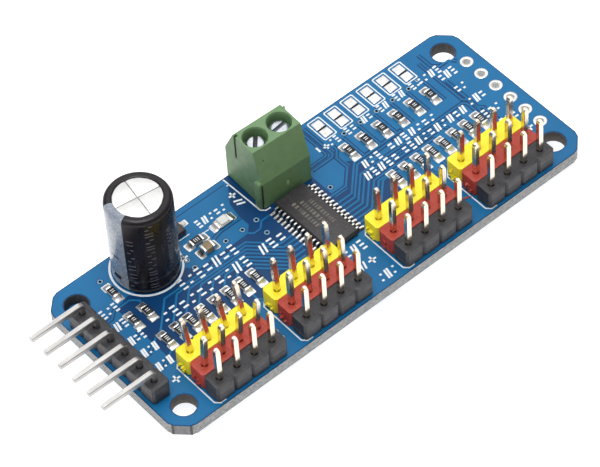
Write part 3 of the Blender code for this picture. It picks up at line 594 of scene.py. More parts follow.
def stroke_row(shape, left, right, y, height, cells, seed, thick):
    """A row of plain strokes along X that fills the place of a caption."""
    chance = random.Random(seed)
    step = (right - left) / cells
    last = None
    for k in range(cells):
        last = chance.choice([c for c in ("slants", "pair", "steps", "triple", "slants") if c != last])
        at = Vector((left + step * (k + 0.5), y))
        stroke_cell(shape, at, Vector((1, 0)), Vector((0, 1)), step * 0.72, height, last, thick)


# left end, right end, y, height, cells
CAPTIONS = [
    (-10.75, -6.15, 9.15, 1.2, 5), (-17.9, -9.2, 3.6, 1.62, 7), (-22.2, -9.2, 1.3, 1.62, 10),
    (-7.9, -3.9, 1.3, 1.55, 3), (-1.3, 2.0, -5.85, 1.5, 3), (-0.5, 2.2, -11.0, 1.5, 3),
    (9.2, 12.2, 2.86, 1.22, 3), (13.2, 20.7, 2.86, 1.22, 7), (8.2, 13.5, 1.3, 1.3, 5),
    (14.1, 24.1, 1.3, 1.3, 10), (24.7, 27.4, 6.7, 1.35, 3), (24.9, 26.7, 4.1, 1.35, 2),
    (24.7, 27.4, 1.6, 1.35, 3), (24.7, 27.4, -1.0, 1.35, 3), (25.4, 28.0, -3.4, 1.35, 3),
    (22.4, 26.1, 8.05, 1.25, 4), (-27.1, -24.5, 6.31, 1.35, 3), (-27.0, -25.1, 3.9, 1.35, 2),
    (-27.0, -24.7, 1.28, 1.35, 3), (-27.0, -24.7, -1.0, 1.35, 3), (-27.0, -24.7, -3.6, 1.35, 3),
]


def printing():
    """White printed lines and neutral marks."""
    marks = Shape(PRINT)
    z0, z1 = TOP - 0.004, TOP + MARK_Z
    for x in GROUP_X:
        left = x - 5.35
        marks.ribbon([(left + 1.1, -4.0), (left, -5.1), (left, -11.55), (left + 0.5, -12.05),
                      (left + 1.3, -12.05)], 0.17, z0, z1)
    for k, caption in enumerate(CAPTIONS):
        stroke_row(marks, *caption, 11 + k, 0.26)
    for k in range(6):
        x = 9.42 + PITCH * k
        stroke_row(marks, x - 0.85, x + 0.85, 8.05, 1.15, 2, 60 + k, 0.24)
    sideways = Vector((0, -1)), Vector((1, 0))
    upright = Vector((1, 0)), Vector((0, 1))
    signs = [((-4.70, 9.80), sideways, 0.95, 0.95, "plus", 0.25),
             ((-4.70, 8.50), sideways, 1.0, 1.1, "slants", 0.24),
             ((7.10, 8.20), sideways, 0.95, 0.95, "minus", 0.25),
             ((8.15, 7.95), sideways, 0.85, 0.85, "plus", 0.23),
             ((-0.55, -8.33), upright, 0.9, 1.2, "slants", 0.24)]
    signs += [(at, upright, 1.1, 1.1, "plus", 0.25)
              for at in ((0.85, -8.33), (-26.3, -6.2), (27.4, -6.0), (-14.72, 6.43))]
    for at, ways, *rest in signs:
        stroke_cell(marks, Vector(at), *ways, *rest)
    marks.ring(CAP_AT, 4.08, 4.34, z0, z1, 0, 96)
    for width, path in ((0.18, [(-3.95, 12.3), (-3.75, 6.4), (-3.72, 5.9), (-3.3, 5.45), (-2.6, 5.40)]),
                        (0.14, [(-4.3, 11.3), (-3.85, 11.3)]), (0.13, [(-10.55, 7.75), (-9.95, 7.75)]),
                        (0.13, [(-9.75, 6.85), (-9.75, 7.95)]), (0.13, [(-9.45, 6.85), (-9.45, 7.95)]),
                        (0.12, [(-13.55, 8.75), (-12.0, 8.75)])):
        marks.ribbon(path, width, z0, z1)
    marks.make("printed_lines", "solder_mask_blue", bevel=0.012, segments=1)


# ---------- pin headers

def cell_ring(left, right, half_y, cut, at, z):
    """The outline of a cell as sixteen points: the corners of a cut rectangle and its mid-sides."""
    corners = [(right, -half_y + cut), (right, half_y - cut), (right - cut, half_y), (left + cut, half_y),
               (left, half_y - cut), (left, -half_y + cut), (left + cut, -half_y), (right - cut, -half_y)]
    made = []
    for a, b in zip(corners, corners[1:] + corners[:1]):
        made += [(at[0] + a[0], at[1] + a[1], z), (at[0] + (a[0] + b[0]) / 2, at[1] + (a[1] + b[1]) / 2, z)]
    return made


def hole_ring(radius, like, at, z):
    """A round ring whose points stand in the same directions as those of the ring like."""
    made = []
    for x, y, _ in like:
        reach = math.hypot(x - at[0], y - at[1])
        made.append((at[0] + (x - at[0]) * radius / reach, at[1] + (y - at[1]) * radius / reach, z))
    return made


def header_cell(shape, at, low, high, half_y, chance, first, last, look):
    """One moulded cell round a pin, open on the sides where it runs on into the next cell."""
    side = PITCH / 2
    cut, waist, relief = look

    def wall(inset, z):
        return cell_ring(-side + (inset if first else 0.0), side - (inset if last else 0.0),
                         half_y - inset, cut, at, z)

    square = cell_ring(-relief, relief, relief, 0.10, at, high)
    sunk = cell_ring(-relief + 0.03, relief - 0.03, relief - 0.03, 0.10, at, high - 0.035)
    rings = [hole_ring(0.38, square, at, low + 0.02), wall(0.10, low), wall(0.02, low + 0.05)]
    if waist:
        mid = low + (high - low) * 0.45
        rings += [wall(inset, mid + z) for inset, z in
                  ((0.01, -0.05), (waist, -0.02), (waist, 0.02), (0.0, 0.05))]
    rings += [wall(0.0, high - 0.07), wall(0.02, high - 0.02), wall(0.07, high), square, sunk,
              hole_ring(0.47, square, at, high - 0.04), hole_ring(0.40, square, at, high - 0.12),
              hole_ring(0.38, square, at, high - 0.6)]
    rings = [[(x, y + chance.uniform(-1, 1) * 0.006, z + chance.uniform(-1, 1) * 0.004) for x, y, z in ring]
             for ring in rings]
    start = len(shape.faces)
    shape.loops(rings, close=True)
    joints = ([] if last else [0, 1]) + ([] if first else [8, 9])     # faces of a ring towards the next cells
    drop = {start + k * 16 + i for k in range(1, len(rings) - 6) for i in joints}
    keep = [i for i in range(len(shape.faces)) if i not in drop]
    shape.faces = [shape.faces[i] for i in keep]
    shape.kinds = [shape.kinds[i] for i in keep]


def header_strip(shape, places, low, high, half_y, chance, look):
    for k, at in enumerate(places):
        header_cell(shape, at, low, high, half_y, chance, k == 0, k == len(places) - 1, look)


def break_off_flash(shape, at, low, chance):
    """The torn end where a strip was snapped from a longer one."""
    for _ in range(10):
        y = at[1] + chance.uniform(-0.70, 0.55)
        z = low + chance.uniform(0.12, 1.5)
        size = chance.uniform(0.12, 0.30)
        reach = chance.uniform(0.10, 0.40)
        rim = [(at[0] + 0.12, y + size * math.cos(a) * chance.uniform(0.7, 1.2),
                max(z + size * math.sin(a) * chance.uniform(0.7, 1.3), low)) for a in
               [math.tau * i / 7 for i in range(7)]]
        tip = [(at[0] - reach, y + (p[1] - y) * 0.35, z + (p[2] - z) * 0.35) for p in rim]
        middle = [((a[0] + b[0]) / 2, a[1] * 0.4 + b[1] * 0.6, a[2] * 0.4 + b[2] * 0.6)
                  for a, b in zip(rim, tip)]
        shape.loops([rim, middle, tip])


# cut corner, depth of the waist line, half size of the sunk square round each pin
STRIP_LOOKS = {"yellow": (0.28, 0.0, 0.62), "red": (0.28, 0.0, 0.74), "black": (0.27, 0.035, 0.72)}


def servo_headers():
    for colour, material in (("yellow", YELLOW), ("red", RED), ("black", BLACK)):
        for g, group_x in enumerate(GROUP_X, 1):
            name = f"header_{colour}_{g}"
            low, high = extent(name)
            chance = random.Random(name)
            shape = Shape(material)
            y = (low.y + high.y) / 2
            places = [(group_x + (k - 1.5) * PITCH, y) for k in range(4)]
            header_strip(shape, places, low.z, high.z, (high.y - low.y) / 2, chance, STRIP_LOOKS[colour])
            if colour != "black":
                break_off_flash(shape, (places[0][0] - PITCH / 2, y), low.z, chance)
            shape.make(f"strip_{colour}_{g}", f"strip_{colour}", replaces=(name,), crease=30)


PIN_HALF, PIN_CUT = 0.32, 0.055
STRIP_TOP = extent("header_black_1")[1].z
# how far the tips of a row in a group stand off their grid, (x, y, z), as hand soldering leaves them
PIN_SET = {("yellow", 0): (-0.24, 0.66, 0.18), ("yellow", 1): (-0.02, 0.26, 0.14),
           ("yellow", 2): (-0.05, 0.12, 0.0), ("yellow", 3): (0.0, 0.0, -0.2),
           ("red", 0): (0.06, -0.26, -0.1), ("red", 1): (0.0, 0.18, 0.05),
           ("red", 2): (0.0, 0.05, 0.0), ("red", 3): (0.0, 0.0, -0.1)}


def straight_pin(shape, at, low, high, lean):
    """A square pin with rounded corners, a worn flat tip above and a cut end below."""
    def ring(half, cut, z):
        t = max(0.0, (z - STRIP_TOP) / (high - STRIP_TOP))
        return rectangle(half, half, cut, (at[0] + lean[0] * t, at[1] + lean[1] * t), z)

    shape.loops([ring(0.20, 0.05, low), ring(0.26, PIN_CUT, low + 0.12), ring(PIN_HALF, PIN_CUT, low + 0.45),
                 ring(PIN_HALF, PIN_CUT, STRIP_TOP), ring(PIN_HALF, PIN_CUT, high - 0.62),
                 ring(0.295, 0.06, high - 0.34), ring(0.235, 0.075, high - 0.10),
                 ring(0.19, 0.08, high - 0.02), ring(0.12, 0.05, high)])


def servo_pins():
    low, high = (corner.z for corner in extent("signal_pin_01"))
    chance = random.Random(7)

    def pin(shape, row, k):
        x, y, z = PIN_SET.get((row, k // 4), (0.0, 0.0, 0.0))
        lean = (x + chance.uniform(-1, 1) * 0.04, y + chance.uniform(-1, 1) * 0.04)
        straight_pin(shape, (PIN_XS[k], ROW_Y[row]), low, high + z + chance.uniform(-1, 1) * 0.04, lean)

    for k in range(len(PIN_XS)):
        shape = Shape(PLATED)
        pin(shape, "yellow", k)
        shape.make(f"pin_signal_{k + 1:02d}", "pin_plating", replaces=(f"signal_pin_{k + 1:02d}",), crease=25)
    for label, name, row in (("power", "servo_power_pins", "red"), ("ground", "ground_pins", "black")):
        shape = Shape(PLATED)
        for k in range(len(PIN_XS)):
            pin(shape, row, k)
        shape.make(f"pins_{label}", "pin_plating", replaces=(name,), crease=25)


def control_header():
    low, high = extent("control_header_insulator")
    along_y = Shape()
    header_strip(along_y, [(y, 0.0) for y in sorted(CONTROL_YS)], low.z, high.z, (high.x - low.x) / 2,
                 random.Random(5), STRIP_LOOKS["black"])
    shape = Shape(BLACK)
    shape.add([(CONTROL_X - p[1], p[0], p[2]) for p in along_y.points], along_y.faces)
    shape.make("strip_control", "strip_black", replaces=("control_header_insulator",), crease=32)
    for k, y in enumerate(CONTROL_YS, 1):
        low, high = extent(f"control_pin_{k}")
        run = high.z - PIN_HALF
        path = rounded_path([(CONTROL_X, y, low.z), (CONTROL_X, y, run), (low.x, y, run)], 0.57, 8)
        tip = [path[-1] + Vector((x, 0, 0)) for x in (0.30, 0.13, 0.03, 0.0)]
        path = [path[0], path[0] + Vector((0, 0, 0.35))] + path[1:-1] + tip
        widths = [0.22] + [PIN_HALF] * (len(path) - 4) + [0.31, 0.28, 0.22]      # both ends are blunted
        rings = []
        for half, (p, forward, up) in zip(widths, framed(path, Vector((0, 1, 0)))):
            side = forward.cross(up)
            rings.append([tuple(p + side * a + up * b) for a, b, _ in rectangle(half, half, PIN_CUT)])
        shape = Shape(SILVER)
        shape.loops(rings)
        shape.make(f"pin_control_{k}", "pin_plating", replaces=(f"control_pin_{k}",), crease=25)


# ---------- terminal block

BLOCK_YAW = math.radians(-2.0)
BLOCK = Matrix.Translation(Vector((0.35, 9.02, TOP)) * MM) @ Matrix.Rotation(BLOCK_YAW, 4, "Z")
BLOCK_LOW = 0.05
BLOCK_PROFILE = [(-3.45, 0.0), (3.45, 0.0), (3.45, 5.0), (1.75, 8.5), (-1.95, 8.5), (-3.35, 4.05)]
WELL_R, WELL_FLOOR, SCREW_LOCAL_Y, TERMINAL_PITCH, LEG_LOCAL_Y = 1.45, 6.9, -0.2, 3.5, -2.3


def solid(shape, turn=None):
    """A shape as a bare object, for a boolean."""
    made = bpy.data.objects.new("solid", shape.mesh("solid"))
    if turn:
        made.data.transform(turn)
    scene.collection.objects.link(made)
    return made


def one_material(mesh, material):
    mesh.materials.clear()
    mesh.materials.append(material)
    mesh.polygons.foreach_set("material_index", [0] * len(mesh.polygons))


def carved(base, cutters, turn=None):
    """The mesh of a shape with other shapes cut out of it; turn places the cutters."""
    target, tools = solid(base), [solid(shape, turn) for shape in cutters]
    for tool in tools:
        modifier = target.modifiers.new("cut", "BOOLEAN")
        modifier.operation, modifier.object, modifier.solver = "DIFFERENCE", tool, "EXACT"
        modifier.use_self = True
    bpy.context.view_layer.update()
    mesh = bpy.data.meshes.new_from_object(target.evaluated_get(bpy.context.evaluated_depsgraph_get()))
    for made in [target] + tools:
        bpy.data.objects.remove(made)
    return mesh


def terminal_housing():
    body = Shape()
    body.loops([[(x, y, z + BLOCK_LOW) for y, z in BLOCK_PROFILE] for x in (-3.5, 3.5)])
    cutter = Cutters()
    floor = WELL_FLOOR + BLOCK_LOW
    for side in (-1, 1):
        x = side * TERMINAL_PITCH / 2
        cutter().lathe([(0.001, 2.0), (0.96, 2.0), (0.96, floor), (WELL_R - 0.06, floor), (WELL_R, 8.3),
                        (WELL_R + 0.10, 8.56), (WELL_R + 0.10, 9.2), (0.001, 9.2)], (x, SCREW_LOCAL_Y), 48)
        cutter().box((x - 1.1, 0.5, 1.25), (x + 1.1, 4.0, 3.65))           # wire entry
        cutter().box((x - 1.25, -2.0, 0.65), (x + 1.25, 1.6, 6.4))         # clamp chamber
    groove = ((0.05, -3.35), (-0.52, -3.35), (-0.52, -2.55), (0.05, -2.65))
    cutter().loops([[(3.5 + x, y, z) for x, y in groove] for z in (-1.0, 3.25)])
    cutter().box((-3.6, 1.20, 4.8), (-3.1, 1.55, 9.0))                     # slit in the left face
    mesh = carved(body, cutter)
    bm = bmesh.new()
    bm.from_mesh(mesh)
    bmesh.ops.remove_doubles(bm, verts=bm.verts, dist=0.00001)
    bmesh.ops.dissolve_limit(bm, angle_limit=math.radians(1.0), verts=bm.verts, edges=bm.edges)
    round_edges(bm, 0.07, 2, 35)
    bm.to_mesh(mesh)
    bm.free()
    mesh.transform(BLOCK)
    one_material(mesh, GREEN)
    piece("terminal_body", mesh, replaces=("terminal_housing",), crease=12)

    ridge = Shape(GREEN)
    ridge.loops([[(-3.45, y0, z), (i - 3.97, y0 + i - 0.03, z), (i - 3.97, y1 + 0.10 - i, z), (-3.45, y1, z)]
                 for y0, y1, z, i in ((-3.30, -2.50, 0.10, 0.0), (-3.30, -2.50, 4.15, 0.0),
                                      (-3.24, -2.52, 4.35, 0.06), (-3.16, -2.55, 4.45, 0.18))])
    ridge.loops([[(x, y, z) for y, z in ((1.28, 5.25), (1.5, 5.25), (1.5, 8.35), (1.28, 8.35))]
                 for x in (3.45, 3.83)])
    ridge.make("terminal_ridges", "terminal_green", bevel=0.05, turn=BLOCK)

    details = Shape(PALE_GREEN, HOLE_SHADE)
    turns = [math.tau * i / 14 for i in range(14)]
    gate_x, gate_z = 0.10, 1.80
    details.loops([[(gate_x + wide * math.cos(t), y, gate_z + tall * math.sin(t)) for t in turns]
                   for y, wide, tall in ((-3.36, 0.21, 0.52), (-3.42, 0.21, 0.52), (-3.47, 0.126, 0.364))])
    spot, slope, across = Vector((-2.45, -2.46, 6.92)), Vector((0.0, -0.954, 0.30)), Vector((1, 0, 0))
    up = slope.cross(across)                     # a pit on the sloping face, drawn as a dark dot of painted shade
    details.loops([[tuple(spot + slope * out + across * 0.10 * math.cos(t) + up * 0.10 * math.sin(t))
                    for t in turns] for out in (-0.05, 0.012)], 1)
    # a dark strip of painted shade along the front of the left ridge, where a groove is
    details.box((-3.62, -3.43, 0.15), (-3.43, -3.33, 4.0), 1)
    details.make("terminal_marks", "terminal_green", turn=BLOCK)


def terminal_screws():
    base = WELL_FLOOR + BLOCK_LOW + TOP
    # the slot faces take painted shade on the first screw and a painted bluish reflection on the second
    for number, angle, slot_painted_shading in ((1, 50.0, SLOT_PAINTED_SHADE), (2, 8.0, SLOT_PAINTED_GLEAM)):
        name = f"terminal_screw_{number}"
        low, high = extent(name)
        at = centre(name)
        head = high.z
        profile = [(0.001, low.z), (0.60, low.z), (0.80, low.z + 0.2)]
        z = low.z + 0.3
        while z < base - 0.35:                   # thread
            profile += [(0.80, z), (0.72, z + 0.10), (0.72, z + 0.18), (0.80, z + 0.28)]
            z += 0.40
        profile += [(0.80, base - 0.02), (0.80, base), (1.02, base), (1.13, base + 0.06), (1.14, head - 0.20),
                    (1.10, head - 0.08), (1.00, head - 0.02), (0.86, head), (0.84, head - 0.02),
                    (0.45, head - 0.01), (0.001, head - 0.005)]
        shape, slot = Shape(), Shape()
        shape.lathe(profile, (at.x, at.y), 48)
        slot.box((-2, -0.27, head - 0.45), (2, 0.27, head + 1))
        turn = Matrix.Rotation(math.radians(angle) + BLOCK_YAW, 4, "Z")
        mesh = carved(shape, [slot], Matrix.Translation((at.x * MM, at.y * MM, 0)) @ turn)
        one_material(mesh, ZINC)
        mesh.materials.append(slot_painted_shading)
        for face in mesh.polygons:
            spot = face.center / MM - at
            inside = head - 0.46 < face.center.z / MM < head - 0.025 and spot.xy.length < 1.06
            face.material_index = int(inside)
        piece(f"screw_{number}_slotted", mesh, f"screw_{number}", (name,), 30)


# ---------- capacitor

STRIPE_FROM, STRIPE_TO = math.radians(155), math.radians(202)


def wrapped_bar(shape, start, end, z0, z1, kind):
    """A thin printed bar that follows the sleeve from one angle to another."""
    rings = []
    for k in range(4):
        angle = start + (end - start) * k / 3
        rings.append([(CAP_AT[0] + r * math.cos(angle), CAP_AT[1] + r * math.sin(angle), z)
                      for r, z in ((3.965, z0), (3.986, z0), (3.986, z1), (3.965, z1))])
    shape.loops(rings, kind)


def capacitor_sleeve():
    low, high = extent("capacitor_sleeve")
    base, top = low.z, high.z
    count = 96
    step = math.tau / count
    above_base = ((3.45, 0.02), (3.72, 0.0), (3.88, 0.06), (3.955, 0.22), (3.97, 0.6), (3.975, 1.35),
                  (3.90, 1.55), (3.86, 1.75), (3.90, 1.95), (3.975, 2.15), (3.975, 2.5), (3.975, 4.0),
                  (3.975, 5.0), (3.975, 5.35), (3.975, 8.0))
    below_top = ((3.975, 0.75), (3.93, 0.42), (3.80, 0.18), (3.60, 0.05), (3.35, 0.0), (3.05, 0.01),
                 (2.88, 0.06), (2.84, 0.14), (2.90, 0.24), (3.3, 0.30))
    profile = [(r, base + z) for r, z in above_base] + [(r, top - z) for r, z in below_top]
    shoulder = 19                                # rows after this one are the rolled-over lip
    dashes = (5, 6, 12)                          # rows where the stripe holds a dark dash
    rings = []
    for row, (radius, z) in enumerate(profile):
        ring = circle(radius, count, CAP_AT, z)
        if row > shoulder:                       # the shrunk lip isn't quite round
            waves = [1 + 0.010 * math.sin(3 * k * step + 1) + 0.007 * math.sin(8 * k * step)
                     + 0.004 * math.sin(17 * k * step) for k in range(count)]
            ring = [(CAP_AT[0] + (x - CAP_AT[0]) * wave, CAP_AT[1] + (y - CAP_AT[1]) * wave, z)
                    for (x, y, z), wave in zip(ring, waves)]
        rings.append(ring)
    shape = Shape(SLEEVE, STRIPE, SLEEVE_INK)
    shape.loops(rings, caps=False)
    for k in range(len(shape.faces)):
        row, column = divmod(k, count)
        angle = (column + 0.5) * step
        striped = STRIPE_FROM < angle < STRIPE_TO and row < len(profile) - 3
        middle = abs(angle - (STRIPE_FROM + STRIPE_TO) / 2) < math.radians(9)
        shape.kinds[k] = int(striped and not (middle and row in dashes))
    chance = random.Random(21)
    for column, reach, first, last, pitch in ((213, 6.0, 1.2, 9.6, 1.45), (247, 7.0, 0.9, 11.2, 1.12),
                                              (284, 5.0, 3.0, 9.8, 0.62)):
        start, end = math.radians(column - reach), math.radians(column + reach)
        z = base + first
        while z < base + last:                   # plain strokes in place of the maker's print
            gap = (end - start) * (0.5 if chance.random() < 0.5 else 0.0)
            wrapped_bar(shape, start, end - gap, z, z + 0.13, 2)
            wrapped_bar(shape, start + gap, end, z + pitch * 0.42, z + pitch * 0.42 + 0.13, 2)
            z += pitch
    shape.make("capacitor_wrap", "sleeve_black", replaces=("capacitor_sleeve",), crease=60)
    return top


def capacitor():
    can = Shape(ALUMINIUM, VENT_SHADE)
    lid, rim, half_gap = capacitor_sleeve() - 0.13, 2.88, 0.055
    for quadrant in range(4):                    # the lid is scored with a vent cross
        start = math.radians(-9) + quadrant * math.pi / 2
        tip = half_gap * math.sqrt(2)
        a0, a1 = start + math.asin(half_gap / rim), start + math.pi / 2 - math.asin(half_gap / rim)
        outline = [(tip, start + math.pi / 4)] + [(rim, a0 + (a1 - a0) * i / 14) for i in range(15)]
        can.prism([(CAP_AT[0] + r * math.cos(a), CAP_AT[1] + r * math.sin(a)) for r, a in outline],
                  lid - 0.10, lid + 0.02)
    # a disc of darker metal below the lid: painted shade on the floor of the vent cross
    can.lathe([(2.95, lid - 0.4), (2.95, lid - 0.03)], CAP_AT, 64, 1)
    can.make("capacitor_lid", "can_aluminium", replaces=("capacitor_can",), bevel=0.03)


# ---------- small parts

class Placed(Shape):
    """A shape whose parts are drawn about a local origin on the board, with or without a quarter turn."""

    def __init__(self, *materials, at=(0.0, 0.0), quarter=False):
        super().__init__(*materials)
        self.at, self.quarter = at, quarter

    def add(self, points, faces, kind=0):
        x, y = self.at
        if self.quarter:
            points = [(x - p[1], y + p[0], TOP + p[2]) for p in points]
        else:
            points = [(x + p[0], y + p[1], TOP + p[2]) for p in points]
        super().add(points, faces, kind)


def solder_end(shape, half_w, inner, outer, rise, kind, chance, sign):
    """Solder from a pad up the end of a part, towards +Y or -Y, with a hollow slope."""
    rings = []
    for side in (-1, -0.72, -0.3, 0.3, 0.72, 1):
        swell = 1.0 - 0.55 * abs(side) ** 3
        wobble = chance.uniform(-0.03, 0.03)
        curve = [(inner, 0.0), (outer, 0.0), (outer - 0.02, 0.05),
                 (inner + (outer - inner) * 0.66, 0.06 + rise * 0.14 * swell + wobble * 0.3),
                 (inner + (outer - inner) * 0.34 + wobble, 0.06 + rise * 0.42 * swell),
                 (inner + (outer - inner) * 0.10, 0.06 + rise * 0.85 * swell), (inner, 0.06 + rise * swell)]
        rings.append([(sign * half_w * side, sign * y, z) for y, z in curve])
    shape.loops(rings, kind)


def chip_resistor(shape, at, half_l, chance, strokes):
    """A surface-mount resistor on its two pads; material numbers as in RESISTOR_LOOKS."""
    shape.at = at
    half_w, high, z0 = 0.45, 0.46, 0.05
    top = z0 + high
    shape.soft_block(half_w - 0.02, half_l - 0.06, z0, top - 0.05, 0.02, 1)
    shape.soft_block(half_w - 0.012, half_l - 0.25, top - 0.09, top, 0.022)
    for sign in (-1, 1):
        shape.soft_block(half_w, 0.15, z0 - 0.02, top - 0.005, 0.035, 2, sign * (half_l - 0.15))
        shape.pad(0.58, 0.52, 0.07, (0, sign * (half_l + 0.17)), 3, 0.045)
        solder_end(shape, half_w * 1.04, half_l - 0.03, half_l + 0.60, high * 0.88, 3, chance, sign)
    for k in range(strokes):                     # plain printed strokes in place of a value
        y = (k - (strokes - 1) / 2) * 0.27
        shape.block(0.24, 0.046, 0.012, ((0, top - 0.004), (0, top + 0.006)), (0.0, y), 4)


RESISTOR_LOOKS = (GLAZE, CERAMIC, END_METAL, SOLDER, PRINT)


def resistors():
    chance = random.Random(3)
    rows = (("output_resistors_left", [(x, RESISTOR_Y) for x in LEFT_XS], 3),
            ("output_resistors_right", [(x, RESISTOR_Y) for x in RIGHT_XS], 3),
            ("address_resistors", [(x, ADDRESS_Y) for x in ADDRESS_XS], 2),
            ("pullup_resistors", PULLUP_AT, 2))
    for name, places, strokes in rows:
        shape = Placed(*RESISTOR_LOOKS)
        for at in places:
            chip_resistor(shape, at, 0.83, chance, strokes)
        shape.make(f"chips_{name}", "resistor_black", replaces=(name,), crease=40)
    shape = Placed(*RESISTOR_LOOKS, quarter=True)
    chip_resistor(shape, LAMP_RESISTOR_AT, 0.86, chance, 3)
    shape.make("chip_lamp_resistor", "resistor_black", replaces=("lamp_resistor",), crease=40)


def layered_capacitor():
    chance = random.Random(9)
    shape = Placed(TAN, END_METAL, SOLDER, at=CERAMIC_AT, quarter=True)
    shape.soft_block(0.56, 0.60, 0.06, 0.90, 0.05)
    for sign in (-1, 1):
        shape.soft_block(0.59, 0.21, 0.05, 0.92, 0.07, 1, sign * 0.62)
        shape.pad(0.68, 0.42, 0.08, (0, sign * 1.02), 2)
        solder_end(shape, 0.58, 0.80, 1.36, 0.45, 2, chance, sign)
    shape.make("ceramic_capacitor", "ceramic_tan", replaces=("decoupling_capacitor",), crease=40)


def lamp():
    chance = random.Random(4)
    base = Placed(WHITE_BASE, END_METAL, SOLDER, DIE, at=LAMP_AT, quarter=True)
    base.soft_block(0.60, 0.98, 0.06, 0.34, 0.03)
    base.block(0.16, 0.16, 0.03, ((0, 0.34), (0, 0.46)), (0.0, 0.10), 3)
    for sign in (-1, 1):
        base.soft_block(0.62, 0.16, 0.04, 0.36, 0.03, 1, sign * 0.90)
        base.pad(0.62, 0.40, 0.08, (0, sign * 1.20), 2)
        solder_end(base, 0.58, 1.03, 1.56, 0.28, 2, chance, sign)
    base.make("lamp_base", "lamp_clear", replaces=("power_lamp",), crease=40)
    lens = Placed(CLEAR, at=LAMP_AT, quarter=True)
    lens.loops([rectangle(x, y, cut, z=z) for x, y, cut, z in
                ((0.58, 0.66, 0.05, 0.335), (0.55, 0.60, 0.06, 0.58), (0.52, 0.57, 0.08, 0.62),
                 (0.44, 0.49, 0.08, 0.635))])
    lens.make("lamp_lens", "lamp_clear", crease=40)


def gull_leads(shape, places, side, y_body, y_foot, z_body, half_w, kind):
    """Bent leads that leave a body towards +X or -X, as side says; places are their y."""
    reach, thick = y_foot - y_body, 0.14
    for x in places:
        path = [(x, y_body - 0.08, z_body), (x, y_body + reach * 0.36, z_body),
                (x, y_body + reach * 0.48, thick / 2 + 0.05), (x, y_foot, thick / 2 + 0.02)]
        rings = []
        for p, _, up in framed(rounded_path(path, 0.09, 3), Vector((1, 0, 0))):
            ring = [p + Vector((a, 0, 0)) + up * b for a, b, _ in rectangle(half_w, thick / 2, thick * 0.18)]
            rings.append([(side * q.y, q.x, q.z) for q in ring])
        shape.loops(rings, kind)


def soldered_feet(shape, places, side, pad_x, half_x, half_y, cut, high, toe, toe_half):
    """A pad under each lead, and the solder that shows round the lead's toe."""
    for y in places:
        shape.pad(half_x, half_y, cut, (side * pad_x, y), 2, high)
        shape.loops([[(side * x, y + w, z) for x, z in toe] for w in (-toe_half, toe_half)], 2)


def driver_chip():
    shape = Placed(EPOXY, END_METAL, SOLDER, MARKED, DIMPLE_SHADE, SHADED, at=(0.0, CHIP_Y))
    half_x = 2.2
    shape.block(half_x, 4.85, 0.05, ((0.12, 0.06), (0.03, 0.50), (0.0, 0.52), (0.0, 0.60), (0.03, 0.62),
                                     (0.10, 0.93), (0.13, 0.97), (0.19, 1.0)))
    # the pin one dimple, drawn as a flat dark disc of painted shade
    shape.lathe([(0.36, 0.985), (0.36, 1.003)], (-1.30, 3.90), 24, 4)
    chance = random.Random(2)
    for x, start, run in ((-0.85, 3.0, 4.4), (0.05, 2.6, 4.6), (0.95, 2.2, 4.2)):
        y = start
        while y > start - run:                   # faint neutral bars where a maker prints
            size = chance.uniform(0.10, 0.34)
            shape.block(0.27, size / 2, 0.02, ((0, 0.99), (0, 1.003)), (x, y), 3)
            y -= size + 0.22
    places = [y - CHIP_Y for y in LEAD_YS]
    toe = ((2.78, 0.04), (3.34, 0.04), (3.28, 0.07), (2.92, 0.10), (2.82, 0.16))
    for sign in (-1, 1):
        gull_leads(shape, places, sign, half_x, 3.22, 0.56, 0.115, 1)
        soldered_feet(shape, places, sign, 3.04, 0.40, 0.145, 0.05, 0.045, toe, 0.125)
        # painted shadow: dark strips on the board under and between the leads
        shape.pad(0.53, 4.62, 0.05, (sign * 2.72, 0.0), 5, 0.026)
    shape.make("chip_package", "chip_epoxy", replaces=("driver_chip",), crease=30)


def transistor():
    shape = Placed(EPOXY, END_METAL, SOLDER, at=TRANSISTOR_AT)
    half_x = 0.66
    shape.block(half_x, 1.46, 0.04, ((0.08, 0.08), (0.0, 0.46), (0.0, 0.52), (0.07, 0.90), (0.12, 0.94)))
    toe = ((0.92, 0.05), (1.66, 0.05), (1.40, 0.14), (1.02, 0.26))
    for sign, places in ((1, (0.0,)), (-1, (-0.95, 0.95))):
        gull_leads(shape, places, sign, half_x, 1.22, 0.48, 0.20, 1)
        soldered_feet(shape, places, sign, 1.36, 0.44, 0.40, 0.08, 0.05, toe, 0.26)
    shape.make("transistor_package", "chip_epoxy", replaces=("protection_transistor",), crease=30)


# ---------- solder, underside

def solder_cone(shape, at, pin_half, pad_r, rise, chance):
    """A hollow-sided solder fillet round a pin, on a round pad under the board."""
    rings = []
    tall = rise * chance.uniform(0.85, 1.12)
    for r, z in ((pad_r, -0.004), (pad_r, 0.035), (pad_r * 0.86, 0.09), (pad_r * 0.66, 0.22),
                 (pad_r * 0.54, 0.48), (pin_half * 1.30, 0.8), (pin_half * 1.08, 1.0)):
        wobble = chance.uniform(-0.02, 0.02)
        rings.append(circle(r + (wobble if z > 0.1 else 0), 20, at,
                            -(z if z < 0.05 else 0.035 + (z - 0.035) * tall)))
    shape.loops(rings)


